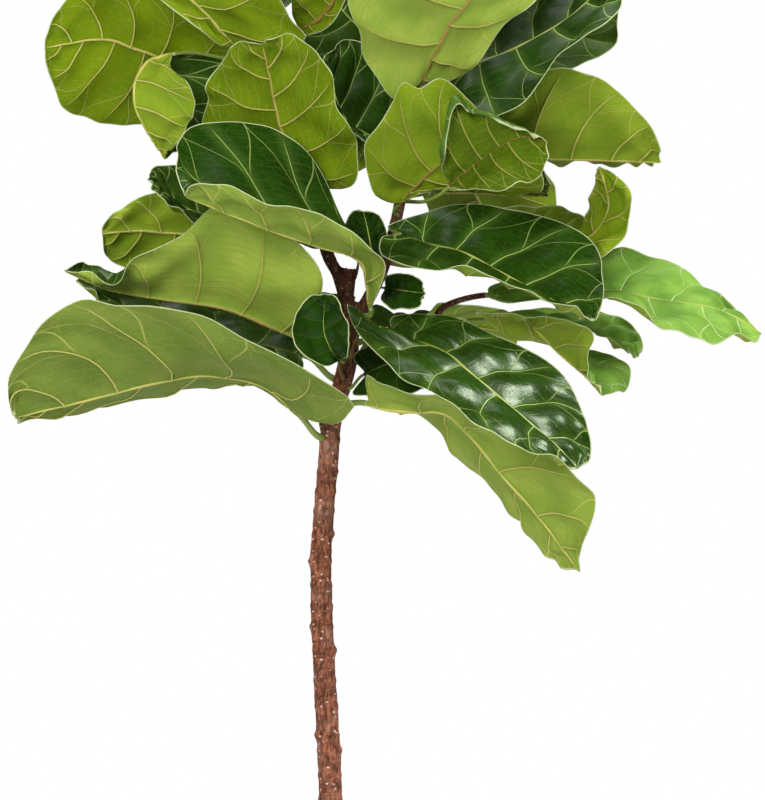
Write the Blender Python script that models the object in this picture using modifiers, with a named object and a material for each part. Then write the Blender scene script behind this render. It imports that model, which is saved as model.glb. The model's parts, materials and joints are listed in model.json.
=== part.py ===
"""Potted fiddle leaf fig, grown as a standard: a bare trunk, a forked crown of large leaves, and a plain pot.

Metres, +Z up. The origin is the middle of the pot's base, and -Y is the front of the plant.
"""

import math
from collections import namedtuple

import bmesh
import bpy
import numpy as np

OBJECT_NAME = "potted_fiddle_leaf_fig"

# Pot: a tapered stoneware planter with off-centre drain holes.
POT_HEIGHT = 0.280
POT_TOP_RADIUS = 0.150
POT_BASE_RADIUS = 0.112
POT_WALL = 0.009
POT_FLOOR = 0.014
POT_RIM_ROUND = 0.004
DRAIN_HOLES = 4
DRAIN_RADIUS = 0.006
DRAIN_CIRCLE = 0.060
TURNED_SIDES = 96

# Soil: fills the pot to a little below its rim and holds the foot of the trunk.
SOIL_LEVEL = 0.246
SOCKET_DEPTH = 0.060
GAP = 0.0003
STALK_GAP = 0.0006

# Wood: centre lines and end radii of the trunk, its two branches and a side twig.
WOOD_POINTS = {
    "trunk": [
        (0.000, 0.000, 0.186), (0.000, 0.000, 0.252), (0.002, 0.001, 0.360), (0.001, 0.000, 0.452),
        (-0.003, -0.002, 0.540), (-0.008, -0.002, 0.634), (-0.011, 0.000, 0.738), (-0.008, 0.002, 0.790),
        (-0.002, 0.002, 0.860), (0.003, 0.002, 0.912), (0.016, 0.003, 0.955), (0.022, 0.003, 0.985),
        (0.025, 0.003, 1.018), (0.020, 0.004, 1.050), (0.024, 0.004, 1.092),
    ],
    "left": [
        (0.020, 0.004, 1.046), (0.010, 0.008, 1.082), (-0.004, 0.010, 1.110), (-0.018, 0.010, 1.160),
        (-0.036, 0.008, 1.215), (-0.056, 0.006, 1.270), (-0.070, 0.004, 1.330), (-0.072, 0.006, 1.400),
        (-0.066, 0.010, 1.480), (-0.062, 0.012, 1.530),
    ],
    "right": [
        (0.024, 0.003, 1.016), (0.044, 0.012, 1.050), (0.064, 0.018, 1.092), (0.080, 0.022, 1.150),
        (0.092, 0.026, 1.220), (0.100, 0.028, 1.300), (0.100, 0.030, 1.390), (0.096, 0.032, 1.480),
        (0.092, 0.034, 1.560),
    ],
    "twig": [
        (0.034, 0.006, 1.016), (0.070, 0.022, 1.020), (0.100, 0.024, 1.026), (0.132, 0.016, 1.036),
    ],
}
WOOD_RADII = {
    "trunk": (0.0155, 0.0110), "left": (0.0105, 0.0060), "right": (0.0105, 0.0060), "twig": (0.0060, 0.0040),
}
WOOD_BEVEL_RESOLUTION = 3
BUD_LENGTH = 0.042
BUD_RADIUS = 0.0050
BUD_SIDES = 10

# Leaves: a blade is a strip of closed sections from the stalk to the tip.
BLADE_THICKNESS = 0.0012
BLADE_CURL = 0.10
STALK_RADIUS = 0.0032
STALK_FOOT_RADIUS = 0.0042
TIP_RADIUS = 0.0009
SECTION_ANGLES = [math.radians(18 + 36 * corner) for corner in range(10)]
BLADE_STATIONS = (0.05, 0.14, 0.26, 0.40, 0.54, 0.68, 0.81, 0.92)
STALK_STATIONS = (0.0, 0.35, 0.70)

# name, wood it grows from, height of its foot, then points along the midrib and both margins.
# Left and right are as seen along the leaf from its foot, with its upper face up.
Leaf = namedtuple("Leaf", "name wood height rib left right curl")

LEAVES = [
    Leaf("leaf_low_left", "trunk", 0.885,
         [(-0.036, -0.030, 0.914), (-0.079, -0.050, 0.950), (-0.148, -0.070, 0.962),
          (-0.217, -0.080, 0.950), (-0.286, -0.085, 0.932), (-0.370, -0.085, 0.912)],
         [(-0.016, -0.048, 0.907), (0.006, -0.062, 0.903), (0.020, -0.074, 0.912), (0.026, -0.086, 0.932),
          (-0.030, -0.110, 0.972), (-0.092, -0.130, 1.002), (-0.154, -0.140, 1.035),
          (-0.245, -0.138, 1.044), (-0.295, -0.132, 1.052), (-0.348, -0.122, 1.012),
          (-0.380, -0.105, 0.950)],
         [(-0.050, 0.005, 0.925), (-0.110, 0.022, 0.952), (-0.200, 0.025, 0.945), (-0.290, 0.010, 0.925),
          (-0.350, -0.035, 0.912)], 0.10),
    Leaf("leaf_mid_left", "trunk", 0.985,
         [(-0.022, -0.030, 1.000), (-0.066, -0.048, 1.018), (-0.125, -0.062, 1.041),
          (-0.192, -0.070, 1.051), (-0.260, -0.065, 1.063), (-0.316, -0.055, 1.086)],
         [(-0.030, -0.060, 1.012), (-0.010, -0.076, 1.056), (-0.018, -0.096, 1.104),
          (-0.080, -0.108, 1.150), (-0.125, -0.112, 1.166), (-0.170, -0.120, 1.128),
          (-0.225, -0.122, 1.103), (-0.254, -0.108, 1.070), (-0.285, -0.085, 1.080)],
         [(-0.040, 0.010, 1.010), (-0.100, 0.030, 1.040), (-0.170, 0.035, 1.065), (-0.240, 0.020, 1.085),
          (-0.290, -0.020, 1.095)], 0.10),
    Leaf("leaf_arch_left", "trunk", 1.030,
         [(0.050, -0.040, 1.040), (0.037, -0.080, 1.096), (-0.011, -0.115, 1.113),
          (-0.053, -0.138, 1.126), (-0.102, -0.155, 1.144), (-0.168, -0.165, 1.170)],
         [(0.058, -0.080, 1.062), (0.066, -0.105, 1.092), (0.048, -0.140, 1.113), (-0.006, -0.178, 1.148),
          (-0.064, -0.195, 1.160), (-0.118, -0.198, 1.180), (-0.155, -0.188, 1.184)],
         [(0.040, -0.045, 1.105), (0.017, -0.062, 1.142), (-0.012, -0.062, 1.208),
          (-0.052, -0.080, 1.245), (-0.089, -0.085, 1.264), (-0.160, -0.098, 1.258),
          (-0.184, -0.122, 1.227), (-0.174, -0.148, 1.202)], 0.10),
    Leaf("leaf_front_cup", "trunk", 1.000,
         [(0.014, -0.062, 0.978), (0.004, -0.082, 0.988), (-0.006, -0.090, 1.012),
          (-0.006, -0.092, 1.038), (-0.004, -0.096, 1.058)],
         [(-0.006, -0.098, 0.972), (-0.032, -0.112, 0.986), (-0.044, -0.112, 1.012),
          (-0.038, -0.110, 1.038), (-0.020, -0.104, 1.054)],
         [(0.022, -0.084, 0.984), (0.024, -0.102, 1.004), (0.020, -0.108, 1.030), (0.008, -0.104, 1.052)], 0.16),
    Leaf("leaf_low_right", "trunk", 1.002,
         [(0.070, -0.050, 1.012), (0.133, -0.105, 0.990), (0.166, -0.135, 0.964), (0.226, -0.165, 0.913),
          (0.266, -0.180, 0.878), (0.290, -0.188, 0.852)],
         [(0.076, -0.030, 1.032), (0.120, -0.060, 1.034), (0.174, -0.085, 1.020), (0.234, -0.115, 0.992),
          (0.270, -0.135, 0.968), (0.302, -0.160, 0.908), (0.306, -0.178, 0.868)],
         [(0.040, -0.052, 1.034), (0.021, -0.058, 1.046), (0.027, -0.070, 1.026), (0.046, -0.104, 0.996),
          (0.084, -0.150, 0.960), (0.138, -0.185, 0.926), (0.192, -0.205, 0.896), (0.258, -0.210, 0.860)], 0.08),
    Leaf("leaf_low_right_hanging", "trunk", 0.930,
         [(0.044, -0.030, 0.928), (0.084, -0.050, 0.919), (0.132, -0.075, 0.918), (0.162, -0.090, 0.896),
          (0.209, -0.110, 0.838), (0.246, -0.115, 0.796), (0.295, -0.120, 0.730)],
         [(0.070, 0.015, 0.930), (0.120, 0.020, 0.905), (0.175, -0.010, 0.845), (0.215, -0.045, 0.800),
          (0.255, -0.080, 0.750)],
         [(0.044, -0.056, 0.962), (0.060, -0.078, 0.951), (0.096, -0.110, 0.942), (0.168, -0.145, 0.928),
          (0.240, -0.150, 0.890), (0.300, -0.155, 0.835), (0.313, -0.150, 0.806), (0.297, -0.135, 0.757)], 0.08),
    Leaf("leaf_shade_left", "trunk", 0.955,
         [(-0.030, 0.020, 0.985), (-0.090, 0.035, 1.000), (-0.160, 0.040, 1.015), (-0.230, 0.030, 1.035),
          (-0.305, 0.000, 1.075)],
         [(-0.040, -0.030, 0.965), (-0.100, -0.040, 0.988), (-0.180, -0.035, 1.002),
          (-0.250, -0.025, 1.028)],
         [(-0.030, 0.075, 1.030), (-0.100, 0.092, 1.052), (-0.180, 0.088, 1.068), (-0.250, 0.056, 1.084),
          (-0.290, 0.024, 1.090)], 0.08),
    Leaf("leaf_mid_right", "right", 1.118,
         [(0.086, -0.030, 1.130), (0.120, -0.055, 1.117), (0.158, -0.080, 1.107), (0.202, -0.100, 1.083),
          (0.244, -0.110, 1.060), (0.284, -0.115, 1.039), (0.314, -0.115, 1.026)],
         [(0.066, -0.022, 1.136), (0.076, -0.014, 1.144), (0.104, -0.010, 1.153), (0.156, -0.012, 1.167),
          (0.204, -0.016, 1.164), (0.276, -0.032, 1.146), (0.318, -0.060, 1.112), (0.326, -0.090, 1.064)],
         [(0.062, -0.050, 1.126), (0.062, -0.078, 1.104), (0.084, -0.098, 1.092), (0.120, -0.126, 1.086),
          (0.168, -0.165, 1.082), (0.240, -0.180, 1.058), (0.285, -0.160, 1.036)], 0.10),
    Leaf("leaf_right_behind", "right", 1.105,
         [(0.125, 0.070, 1.130), (0.180, 0.090, 1.126), (0.245, 0.088, 1.130), (0.314, 0.065, 1.138)],
         [(0.140, 0.120, 1.130), (0.210, 0.145, 1.135), (0.280, 0.120, 1.142)],
         [(0.140, 0.050, 1.150), (0.200, 0.045, 1.164), (0.250, 0.042, 1.168), (0.305, 0.042, 1.156)], 0.08),
    Leaf("leaf_far_right", "twig", 1.0355,
         [(0.186, 0.010, 1.058), (0.250, 0.005, 1.063), (0.325, -0.010, 1.064), (0.400, -0.020, 1.051),
          (0.463, -0.030, 1.040), (0.515, -0.040, 1.011)],
         [(0.200, 0.050, 1.075), (0.260, 0.060, 1.095), (0.322, 0.045, 1.103), (0.364, 0.035, 1.114),
          (0.415, 0.020, 1.098), (0.450, 0.000, 1.070), (0.480, -0.020, 1.040)],
         [(0.200, -0.035, 1.052), (0.260, -0.055, 1.058), (0.323, -0.065, 1.052), (0.366, -0.072, 1.032),
          (0.432, -0.072, 1.012), (0.480, -0.062, 0.998), (0.503, -0.050, 0.998)], 0.08),
    Leaf("leaf_right_small", "twig", 1.030,
         [(0.200, 0.075, 1.030), (0.270, 0.070, 1.028), (0.330, 0.055, 1.012), (0.372, 0.032, 0.984)],
         [(0.220, 0.115, 1.040), (0.290, 0.110, 1.045), (0.350, 0.080, 1.034), (0.376, 0.052, 1.008)],
         [(0.210, 0.045, 1.022), (0.260, 0.035, 1.018), (0.313, 0.022, 1.018), (0.341, 0.015, 0.998),
          (0.360, 0.018, 0.990)], 0.08),
    Leaf("leaf_right_hanging", "twig", 1.0335,
         [(0.175, -0.012, 1.036), (0.230, -0.018, 1.032), (0.249, -0.022, 1.014), (0.274, -0.030, 0.988),
          (0.305, -0.038, 0.960), (0.325, -0.038, 0.937)],
         [(0.210, 0.012, 1.012), (0.270, 0.010, 0.995), (0.340, 0.000, 0.985), (0.361, -0.008, 0.969),
          (0.354, -0.022, 0.943)],
         [(0.205, -0.045, 1.034), (0.284, -0.080, 1.028), (0.311, -0.080, 1.010), (0.307, -0.074, 0.990),
          (0.310, -0.058, 0.963)], 0.08),
    Leaf("leaf_right_upright", "right", 1.100,
         [(0.200, 0.004, 1.112), (0.270, 0.010, 1.115), (0.315, 0.015, 1.130), (0.335, 0.010, 1.165),
          (0.323, -0.005, 1.212)],
         [(0.250, -0.020, 1.102), (0.318, -0.028, 1.098), (0.356, -0.022, 1.135), (0.360, -0.014, 1.180),
          (0.342, -0.008, 1.202)],
         [(0.240, 0.024, 1.122), (0.288, 0.030, 1.130), (0.314, 0.030, 1.168), (0.316, 0.012, 1.198)], 0.08),
    Leaf("leaf_upper_right", "right", 1.250,
         [(0.150, 0.030, 1.262), (0.200, 0.020, 1.250), (0.256, 0.010, 1.224), (0.294, 0.000, 1.221),
          (0.336, -0.010, 1.219), (0.396, -0.020, 1.216)],
         [(0.170, 0.080, 1.250), (0.240, 0.100, 1.235), (0.310, 0.090, 1.230), (0.370, 0.040, 1.222)],
         [(0.147, 0.006, 1.268), (0.158, -0.010, 1.282), (0.178, -0.020, 1.282), (0.218, -0.032, 1.290),
          (0.243, -0.040, 1.312), (0.268, -0.050, 1.327), (0.313, -0.055, 1.322), (0.350, -0.050, 1.295),
          (0.384, -0.040, 1.256)], 0.10),
    Leaf("leaf_top_right", "right", 1.285,
         [(0.140, -0.010, 1.300), (0.174, -0.025, 1.332), (0.222, -0.035, 1.352), (0.277, -0.045, 1.382),
          (0.313, -0.055, 1.412), (0.345, -0.060, 1.450)],
         [(0.145, 0.020, 1.340), (0.180, 0.030, 1.385), (0.240, 0.020, 1.425), (0.300, 0.000, 1.450)],
         [(0.148, -0.042, 1.266), (0.182, -0.066, 1.264), (0.222, -0.085, 1.279), (0.270, -0.095, 1.334),
          (0.324, -0.105, 1.376), (0.345, -0.095, 1.412)], 0.08),
    Leaf("leaf_top_right_behind", "right", 1.330,
         [(0.150, 0.060, 1.345), (0.210, 0.070, 1.375), (0.280, 0.065, 1.405), (0.355, 0.045, 1.435)],
         [(0.150, 0.110, 1.370), (0.220, 0.130, 1.410), (0.300, 0.110, 1.440)],
         [(0.170, 0.030, 1.325), (0.230, 0.012, 1.325), (0.268, 0.005, 1.328), (0.306, 0.000, 1.333),
          (0.341, 0.000, 1.362), (0.352, 0.015, 1.412)], 0.06),
    Leaf("leaf_top_centre", "right", 1.298,
         [(0.108, -0.035, 1.308), (0.122, -0.055, 1.339), (0.143, -0.080, 1.377), (0.170, -0.100, 1.412),
          (0.210, -0.125, 1.475), (0.250, -0.140, 1.540)],
         [(0.146, -0.052, 1.312), (0.182, -0.068, 1.339), (0.208, -0.082, 1.375), (0.253, -0.102, 1.412),
          (0.288, -0.120, 1.465), (0.288, -0.135, 1.515)],
         [(0.078, -0.050, 1.290), (0.056, -0.060, 1.312), (0.036, -0.068, 1.340), (0.034, -0.082, 1.370),
          (0.018, -0.100, 1.412), (0.040, -0.125, 1.470), (0.100, -0.145, 1.530), (0.180, -0.150, 1.560)], 0.06),
    Leaf("leaf_centre_upright", "right", 1.154,
         [(0.082, -0.030, 1.165), (0.106, -0.046, 1.190), (0.132, -0.062, 1.212), (0.170, -0.074, 1.228),
          (0.206, -0.080, 1.240)],
         [(0.100, -0.044, 1.173), (0.126, -0.050, 1.182), (0.180, -0.046, 1.180), (0.225, -0.050, 1.176),
          (0.256, -0.060, 1.182), (0.246, -0.074, 1.210)],
         [(0.064, -0.040, 1.164), (0.048, -0.052, 1.186), (0.041, -0.064, 1.214), (0.043, -0.074, 1.240),
          (0.064, -0.086, 1.266), (0.077, -0.092, 1.290), (0.087, -0.096, 1.310), (0.106, -0.098, 1.303),
          (0.130, -0.098, 1.314), (0.152, -0.097, 1.298), (0.184, -0.092, 1.268)], 0.10),
    Leaf("leaf_centre_cup", "right", 1.171,
         [(0.142, -0.086, 1.184), (0.160, -0.100, 1.200), (0.184, -0.112, 1.218), (0.222, -0.128, 1.240),
          (0.256, -0.130, 1.235)],
         [(0.152, -0.108, 1.180), (0.180, -0.132, 1.178), (0.204, -0.144, 1.176), (0.222, -0.146, 1.187),
          (0.240, -0.142, 1.186), (0.254, -0.136, 1.204)],
         [(0.134, -0.096, 1.196), (0.127, -0.118, 1.230), (0.129, -0.128, 1.274), (0.142, -0.128, 1.306),
          (0.160, -0.124, 1.288), (0.186, -0.128, 1.276), (0.212, -0.134, 1.258), (0.244, -0.134, 1.244)], 0.10),
    Leaf("leaf_mid_right_shade", "right", 1.178,
         [(0.118, 0.008, 1.180), (0.160, 0.012, 1.182), (0.220, 0.004, 1.178), (0.262, -0.008, 1.176)],
         [(0.130, 0.038, 1.192), (0.190, 0.042, 1.202), (0.250, 0.017, 1.192)],
         [(0.134, -0.014, 1.188), (0.180, -0.032, 1.206), (0.240, -0.044, 1.215), (0.262, -0.036, 1.196)], 0.06),
    Leaf("leaf_upper_left_front", "left", 1.150,
         [(-0.010, -0.032, 1.180), (-0.032, -0.050, 1.212), (-0.055, -0.072, 1.248),
          (-0.064, -0.086, 1.280), (-0.070, -0.102, 1.312), (-0.078, -0.128, 1.350)],
         [(0.002, -0.038, 1.182), (0.018, -0.044, 1.185), (0.031, -0.052, 1.193), (0.036, -0.060, 1.214),
          (0.037, -0.068, 1.238), (0.024, -0.076, 1.258), (0.009, -0.084, 1.282), (0.004, -0.094, 1.310),
          (-0.008, -0.110, 1.338), (-0.026, -0.122, 1.352), (-0.044, -0.130, 1.362),
          (-0.066, -0.134, 1.358)],
         [(-0.034, -0.026, 1.178), (-0.078, -0.030, 1.192), (-0.128, -0.045, 1.226),
          (-0.154, -0.060, 1.262), (-0.144, -0.075, 1.290), (-0.142, -0.088, 1.310),
          (-0.128, -0.105, 1.332), (-0.108, -0.122, 1.352)], 0.08),
    Leaf("leaf_centre_behind", "right", 1.205,
         [(0.060, 0.020, 1.222), (0.042, 0.022, 1.250), (0.026, 0.024, 1.276), (0.012, 0.022, 1.304)],
         [(0.070, 0.012, 1.222), (0.074, 0.020, 1.248), (0.062, 0.026, 1.280), (0.036, 0.025, 1.300)],
         [(0.034, 0.008, 1.206), (0.002, 0.010, 1.222), (-0.018, 0.014, 1.250), (-0.020, 0.018, 1.282),
          (-0.006, 0.020, 1.300)], 0.06),
    Leaf("leaf_centre_dark", "right", 1.235,
         [(0.078, 0.008, 1.236), (0.050, -0.018, 1.247), (0.020, -0.032, 1.266), (0.005, -0.032, 1.300),
          (-0.005, -0.022, 1.345)],
         [(0.050, -0.036, 1.236), (0.030, -0.046, 1.246), (0.010, -0.050, 1.266), (-0.006, -0.048, 1.288),
          (-0.018, -0.038, 1.320)],
         [(0.088, 0.000, 1.270), (0.080, 0.004, 1.320), (0.052, 0.004, 1.355), (0.020, -0.006, 1.365)], 0.08),
    Leaf("leaf_top_dark", "right", 1.340,
         [(0.080, 0.070, 1.350), (0.045, 0.070, 1.375), (0.010, 0.060, 1.410), (-0.015, 0.045, 1.455)],
         [(0.045, 0.045, 1.322), (-0.002, 0.035, 1.330), (-0.032, 0.030, 1.368), (-0.040, 0.030, 1.425)],
         [(0.095, 0.095, 1.380), (0.070, 0.090, 1.430), (0.030, 0.070, 1.465)], 0.08),
    Leaf("leaf_top_strip", "left", 1.352,
         [(-0.040, -0.030, 1.372), (-0.014, -0.042, 1.385), (0.007, -0.060, 1.412),
          (0.035, -0.080, 1.480)],
         [(-0.025, -0.045, 1.366), (0.002, -0.055, 1.378), (0.022, -0.066, 1.412), (0.042, -0.080, 1.450)],
         [(-0.045, -0.035, 1.395), (-0.042, -0.055, 1.425), (-0.010, -0.080, 1.480)], 0.06),
    Leaf("leaf_top_left", "left", 1.345,
         [(-0.110, -0.045, 1.352), (-0.150, -0.070, 1.396), (-0.167, -0.080, 1.412),
          (-0.205, -0.105, 1.470), (-0.245, -0.120, 1.530)],
         [(-0.070, -0.058, 1.348), (-0.026, -0.068, 1.360), (-0.043, -0.080, 1.384),
          (-0.058, -0.090, 1.412), (-0.085, -0.112, 1.470), (-0.150, -0.135, 1.530)],
         [(-0.128, -0.052, 1.352), (-0.172, -0.070, 1.385), (-0.208, -0.085, 1.412),
          (-0.250, -0.100, 1.460), (-0.272, -0.115, 1.510)], 0.06),
    Leaf("leaf_upper_left", "left", 1.305,
         [(-0.150, 0.020, 1.325), (-0.191, 0.000, 1.338), (-0.233, -0.020, 1.352),
          (-0.272, -0.040, 1.362), (-0.338, -0.065, 1.350)],
         [(-0.120, 0.010, 1.355), (-0.149, -0.005, 1.392), (-0.216, -0.030, 1.426),
          (-0.288, -0.055, 1.425), (-0.322, -0.070, 1.396), (-0.336, -0.070, 1.365)],
         [(-0.175, 0.030, 1.295), (-0.223, 0.022, 1.262), (-0.283, 0.005, 1.267), (-0.318, -0.020, 1.278),
          (-0.327, -0.045, 1.303), (-0.337, -0.060, 1.330)], 0.05),
    Leaf("leaf_left_folded", "left", 1.335,
         [(-0.185, -0.032, 1.345), (-0.215, -0.050, 1.335), (-0.230, -0.062, 1.310),
          (-0.230, -0.068, 1.280), (-0.215, -0.062, 1.248), (-0.196, -0.052, 1.218)],
         [(-0.170, -0.022, 1.345), (-0.125, -0.010, 1.340), (-0.112, -0.012, 1.305),
          (-0.135, -0.018, 1.265), (-0.170, -0.030, 1.235)],
         [(-0.188, -0.058, 1.330), (-0.165, -0.074, 1.302), (-0.158, -0.077, 1.272),
          (-0.170, -0.072, 1.252), (-0.186, -0.062, 1.232)], 0.12),
    Leaf("leaf_left_behind", "left", 1.120,
         [(-0.060, 0.090, 1.130), (-0.120, 0.085, 1.134), (-0.180, 0.072, 1.133), (-0.233, 0.050, 1.136),
          (-0.275, 0.030, 1.132)],
         [(-0.080, 0.100, 1.180), (-0.150, 0.092, 1.196), (-0.215, 0.070, 1.185), (-0.257, 0.048, 1.163),
          (-0.274, 0.036, 1.142)],
         [(-0.080, 0.082, 1.085), (-0.150, 0.076, 1.080), (-0.238, 0.052, 1.088), (-0.270, 0.038, 1.105)], 0.06),
    Leaf("leaf_left_dark_small", "left", 1.135,
         [(-0.060, 0.010, 1.150), (-0.100, 0.005, 1.150), (-0.139, -0.010, 1.152),
          (-0.173, -0.028, 1.162), (-0.217, -0.042, 1.195)],
         [(-0.090, -0.015, 1.138), (-0.130, -0.040, 1.136), (-0.156, -0.055, 1.140),
          (-0.198, -0.062, 1.172)],
         [(-0.090, 0.025, 1.190), (-0.130, 0.018, 1.218), (-0.168, 0.002, 1.212), (-0.204, -0.018, 1.213)], 0.08),
    Leaf("leaf_centre_small", "right", 1.070,
         [(0.064, -0.030, 1.066), (0.088, -0.055, 1.062), (0.114, -0.078, 1.058)],
         [(0.065, -0.040, 1.080), (0.084, -0.050, 1.083), (0.106, -0.064, 1.077)],
         [(0.060, -0.048, 1.052), (0.078, -0.070, 1.039), (0.104, -0.082, 1.042)], 0.10),
    Leaf("leaf_heart", "right", 1.088,
         [(0.056, -0.006, 1.096), (0.050, -0.012, 1.112), (0.046, -0.016, 1.132), (0.040, -0.018, 1.158)],
         [(0.042, -0.014, 1.100), (0.024, -0.016, 1.116), (0.018, -0.018, 1.140), (0.026, -0.020, 1.158)],
         [(0.066, -0.002, 1.104), (0.069, 0.000, 1.122), (0.066, -0.004, 1.142), (0.056, -0.012, 1.156)], 0.12),
    Leaf("leaf_low_right_inner", "trunk", 0.948,
         [(0.040, -0.012, 0.962), (0.072, -0.026, 0.976), (0.104, -0.044, 0.984), (0.138, -0.062, 0.986)],
         [(0.028, -0.014, 0.984), (0.060, -0.010, 1.006), (0.096, -0.026, 1.012), (0.126, -0.048, 1.004)],
         [(0.026, -0.024, 0.938), (0.054, -0.034, 0.936), (0.086, -0.050, 0.937), (0.120, -0.066, 0.946),
          (0.138, -0.070, 0.964)], 0.12),
    Leaf("leaf_twig_young", "twig", 1.0255,
         [(0.122, -0.010, 1.022), (0.142, -0.030, 1.022), (0.174, -0.050, 1.012)],
         [(0.136, -0.014, 1.030), (0.158, -0.026, 1.030), (0.176, -0.040, 1.020)],
         [(0.124, -0.026, 1.014), (0.140, -0.044, 1.012), (0.162, -0.056, 1.008)], 0.06),
]

# Leaves that follow one rule: those round the back of the crown and above its middle.
# name, wood, foot height, bearing, stalk, length, half width, lift, droop, cup (degrees)
Grown = namedtuple("Grown", "name wood height bearing stalk length half_width lift droop cup")
GROWN_LEAVES = [
    Grown("leaf_back_1", "trunk", 0.975, 62, 0.060, 0.300, 0.095, 26, 38, 16),
    Grown("leaf_back_2", "trunk", 1.005, 120, 0.055, 0.290, 0.095, 16, 30, 18),
    Grown("leaf_back_3", "left", 1.175, 112, 0.050, 0.300, 0.100, 22, 50, 18),
    Grown("leaf_back_4", "right", 1.185, 66, 0.050, 0.300, 0.100, 20, 48, 18),
    Grown("leaf_back_5", "right", 1.275, 100, 0.045, 0.280, 0.095, 34, 52, 18),
    Grown("leaf_back_6", "left", 1.262, 116, 0.045, 0.250, 0.086, 44, 44, 18),
    Grown("leaf_back_7", "left", 1.375, 104, 0.040, 0.260, 0.088, 46, 46, 20),
    Grown("leaf_top_1", "left", 1.420, 196, 0.036, 0.250, 0.082, 52, 40, 22),
    Grown("leaf_top_2", "left", 1.455, 285, 0.034, 0.235, 0.078, 58, 36, 24),
    Grown("leaf_top_3", "left", 1.485, 92, 0.030, 0.215, 0.070, 64, 32, 26),
    Grown("leaf_top_4", "left", 1.510, 232, 0.026, 0.180, 0.056, 72, 26, 30),
    Grown("leaf_top_5", "right", 1.430, 128, 0.036, 0.250, 0.082, 52, 38, 22),
    Grown("leaf_top_6", "right", 1.465, 20, 0.034, 0.240, 0.078, 58, 36, 24),
    Grown("leaf_top_7", "right", 1.500, 310, 0.030, 0.215, 0.070, 64, 32, 26),
    Grown("leaf_top_8", "right", 1.535, 142, 0.026, 0.185, 0.058, 72, 26, 30),
]
# Half width of a fiddle shaped blade against the distance from its foot: lobe, waist, broad end, tip.
FIDDLE_OUTLINE = ((0.00, 0.00), (0.03, 0.38), (0.12, 0.62), (0.32, 0.60), (0.55, 0.88), (0.72, 1.00),
                  (0.88, 0.80), (0.97, 0.38), (1.00, 0.00))

# Colours as linear RGB, with roughness.
MATERIALS = {
    "stoneware": ((0.62, 0.60, 0.56), 0.55),
    "soil": ((0.035, 0.022, 0.014), 0.95),
    "bark": ((0.16, 0.07, 0.045), 0.80),
    "bud": ((0.22, 0.13, 0.05), 0.60),
    "leaf": ((0.060, 0.165, 0.022), 0.35),
}


def unit(vector):
    """The vector scaled to length one."""
    return vector / max(np.linalg.norm(vector), 1e-12)


def smooth_curve(points, fractions, dense=24):
    """Points at fractions of the length of a Catmull-Rom curve through the given points."""
    points = np.array(points, float)
    padded = np.vstack([2 * points[0] - points[1], points, 2 * points[-1] - points[-2]])
    steps = np.linspace(0.0, 1.0, dense, endpoint=False)[:, None]
    spans = []
    for before, start, end, after in zip(padded, padded[1:], padded[2:], padded[3:]):
        spans.append(0.5 * (2 * start + (end - before) * steps
                            + (2 * before - 5 * start + 4 * end - after) * steps**2
                            + (3 * start - before - 3 * end + after) * steps**3))
    curve = np.vstack(spans + [points[-1:]])
    travelled = np.concatenate([[0.0], np.cumsum(np.linalg.norm(np.diff(curve, axis=0), axis=1))])
    wanted = np.array(fractions) * travelled[-1]
    return np.stack([np.interp(wanted, travelled, curve[:, axis]) for axis in range(3)], axis=1)


def wood_at(wood, height):
    """Centre, direction and radius of a piece of wood where it reaches a height."""
    fractions = np.linspace(0.0, 1.0, 400)
    line = smooth_curve(WOOD_POINTS[wood], fractions)
    index = int(np.argmin(np.abs(line[:, 2] - height)))
    along = unit(line[min(index + 1, 399)] - line[max(index - 1, 0)])
    start_radius, end_radius = WOOD_RADII[wood]
    return line[index], along, start_radius + (end_radius - start_radius) * fractions[index]


def grown_leaf(grown):
    """A leaf from the rule: an arching midrib with fiddle shaped margins raised into a cup."""
    centre, _, _ = wood_at(grown.wood, grown.height)
    bearing = math.radians(grown.bearing)
    outward = np.array([math.cos(bearing), math.sin(bearing), 0.0])
    side = np.array([-outward[1], outward[0], 0.0])
    up = np.array([0.0, 0.0, 1.0])
    point = centre + grown.stalk * (outward + 0.5 * up)
    rib, left, right = [point], [], []
    cup = math.radians(grown.cup)
    lobes = FIDDLE_OUTLINE[1:-1]
    for (last, _), (place, width) in zip(FIDDLE_OUTLINE, lobes):
        rise = math.radians(grown.lift - grown.droop * 2 * place**1.5)
        ahead = math.cos(rise) * outward + math.sin(rise) * up
        over = -math.sin(rise) * outward + math.cos(rise) * up
        point = point + (place - last) * grown.length * ahead
        reach = width * grown.half_width
        lifted = reach * math.sin(cup) * over
        left.append(point + reach * math.cos(cup) * side + lifted)
        right.append(point - reach * math.cos(cup) * side + lifted)
        rib.append(point)
    rib.append(point + (1.0 - lobes[-1][0]) * grown.length * ahead)
    return Leaf(grown.name, grown.wood, grown.height, rib[:1] + rib[3:], left, right, BLADE_CURL)


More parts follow.
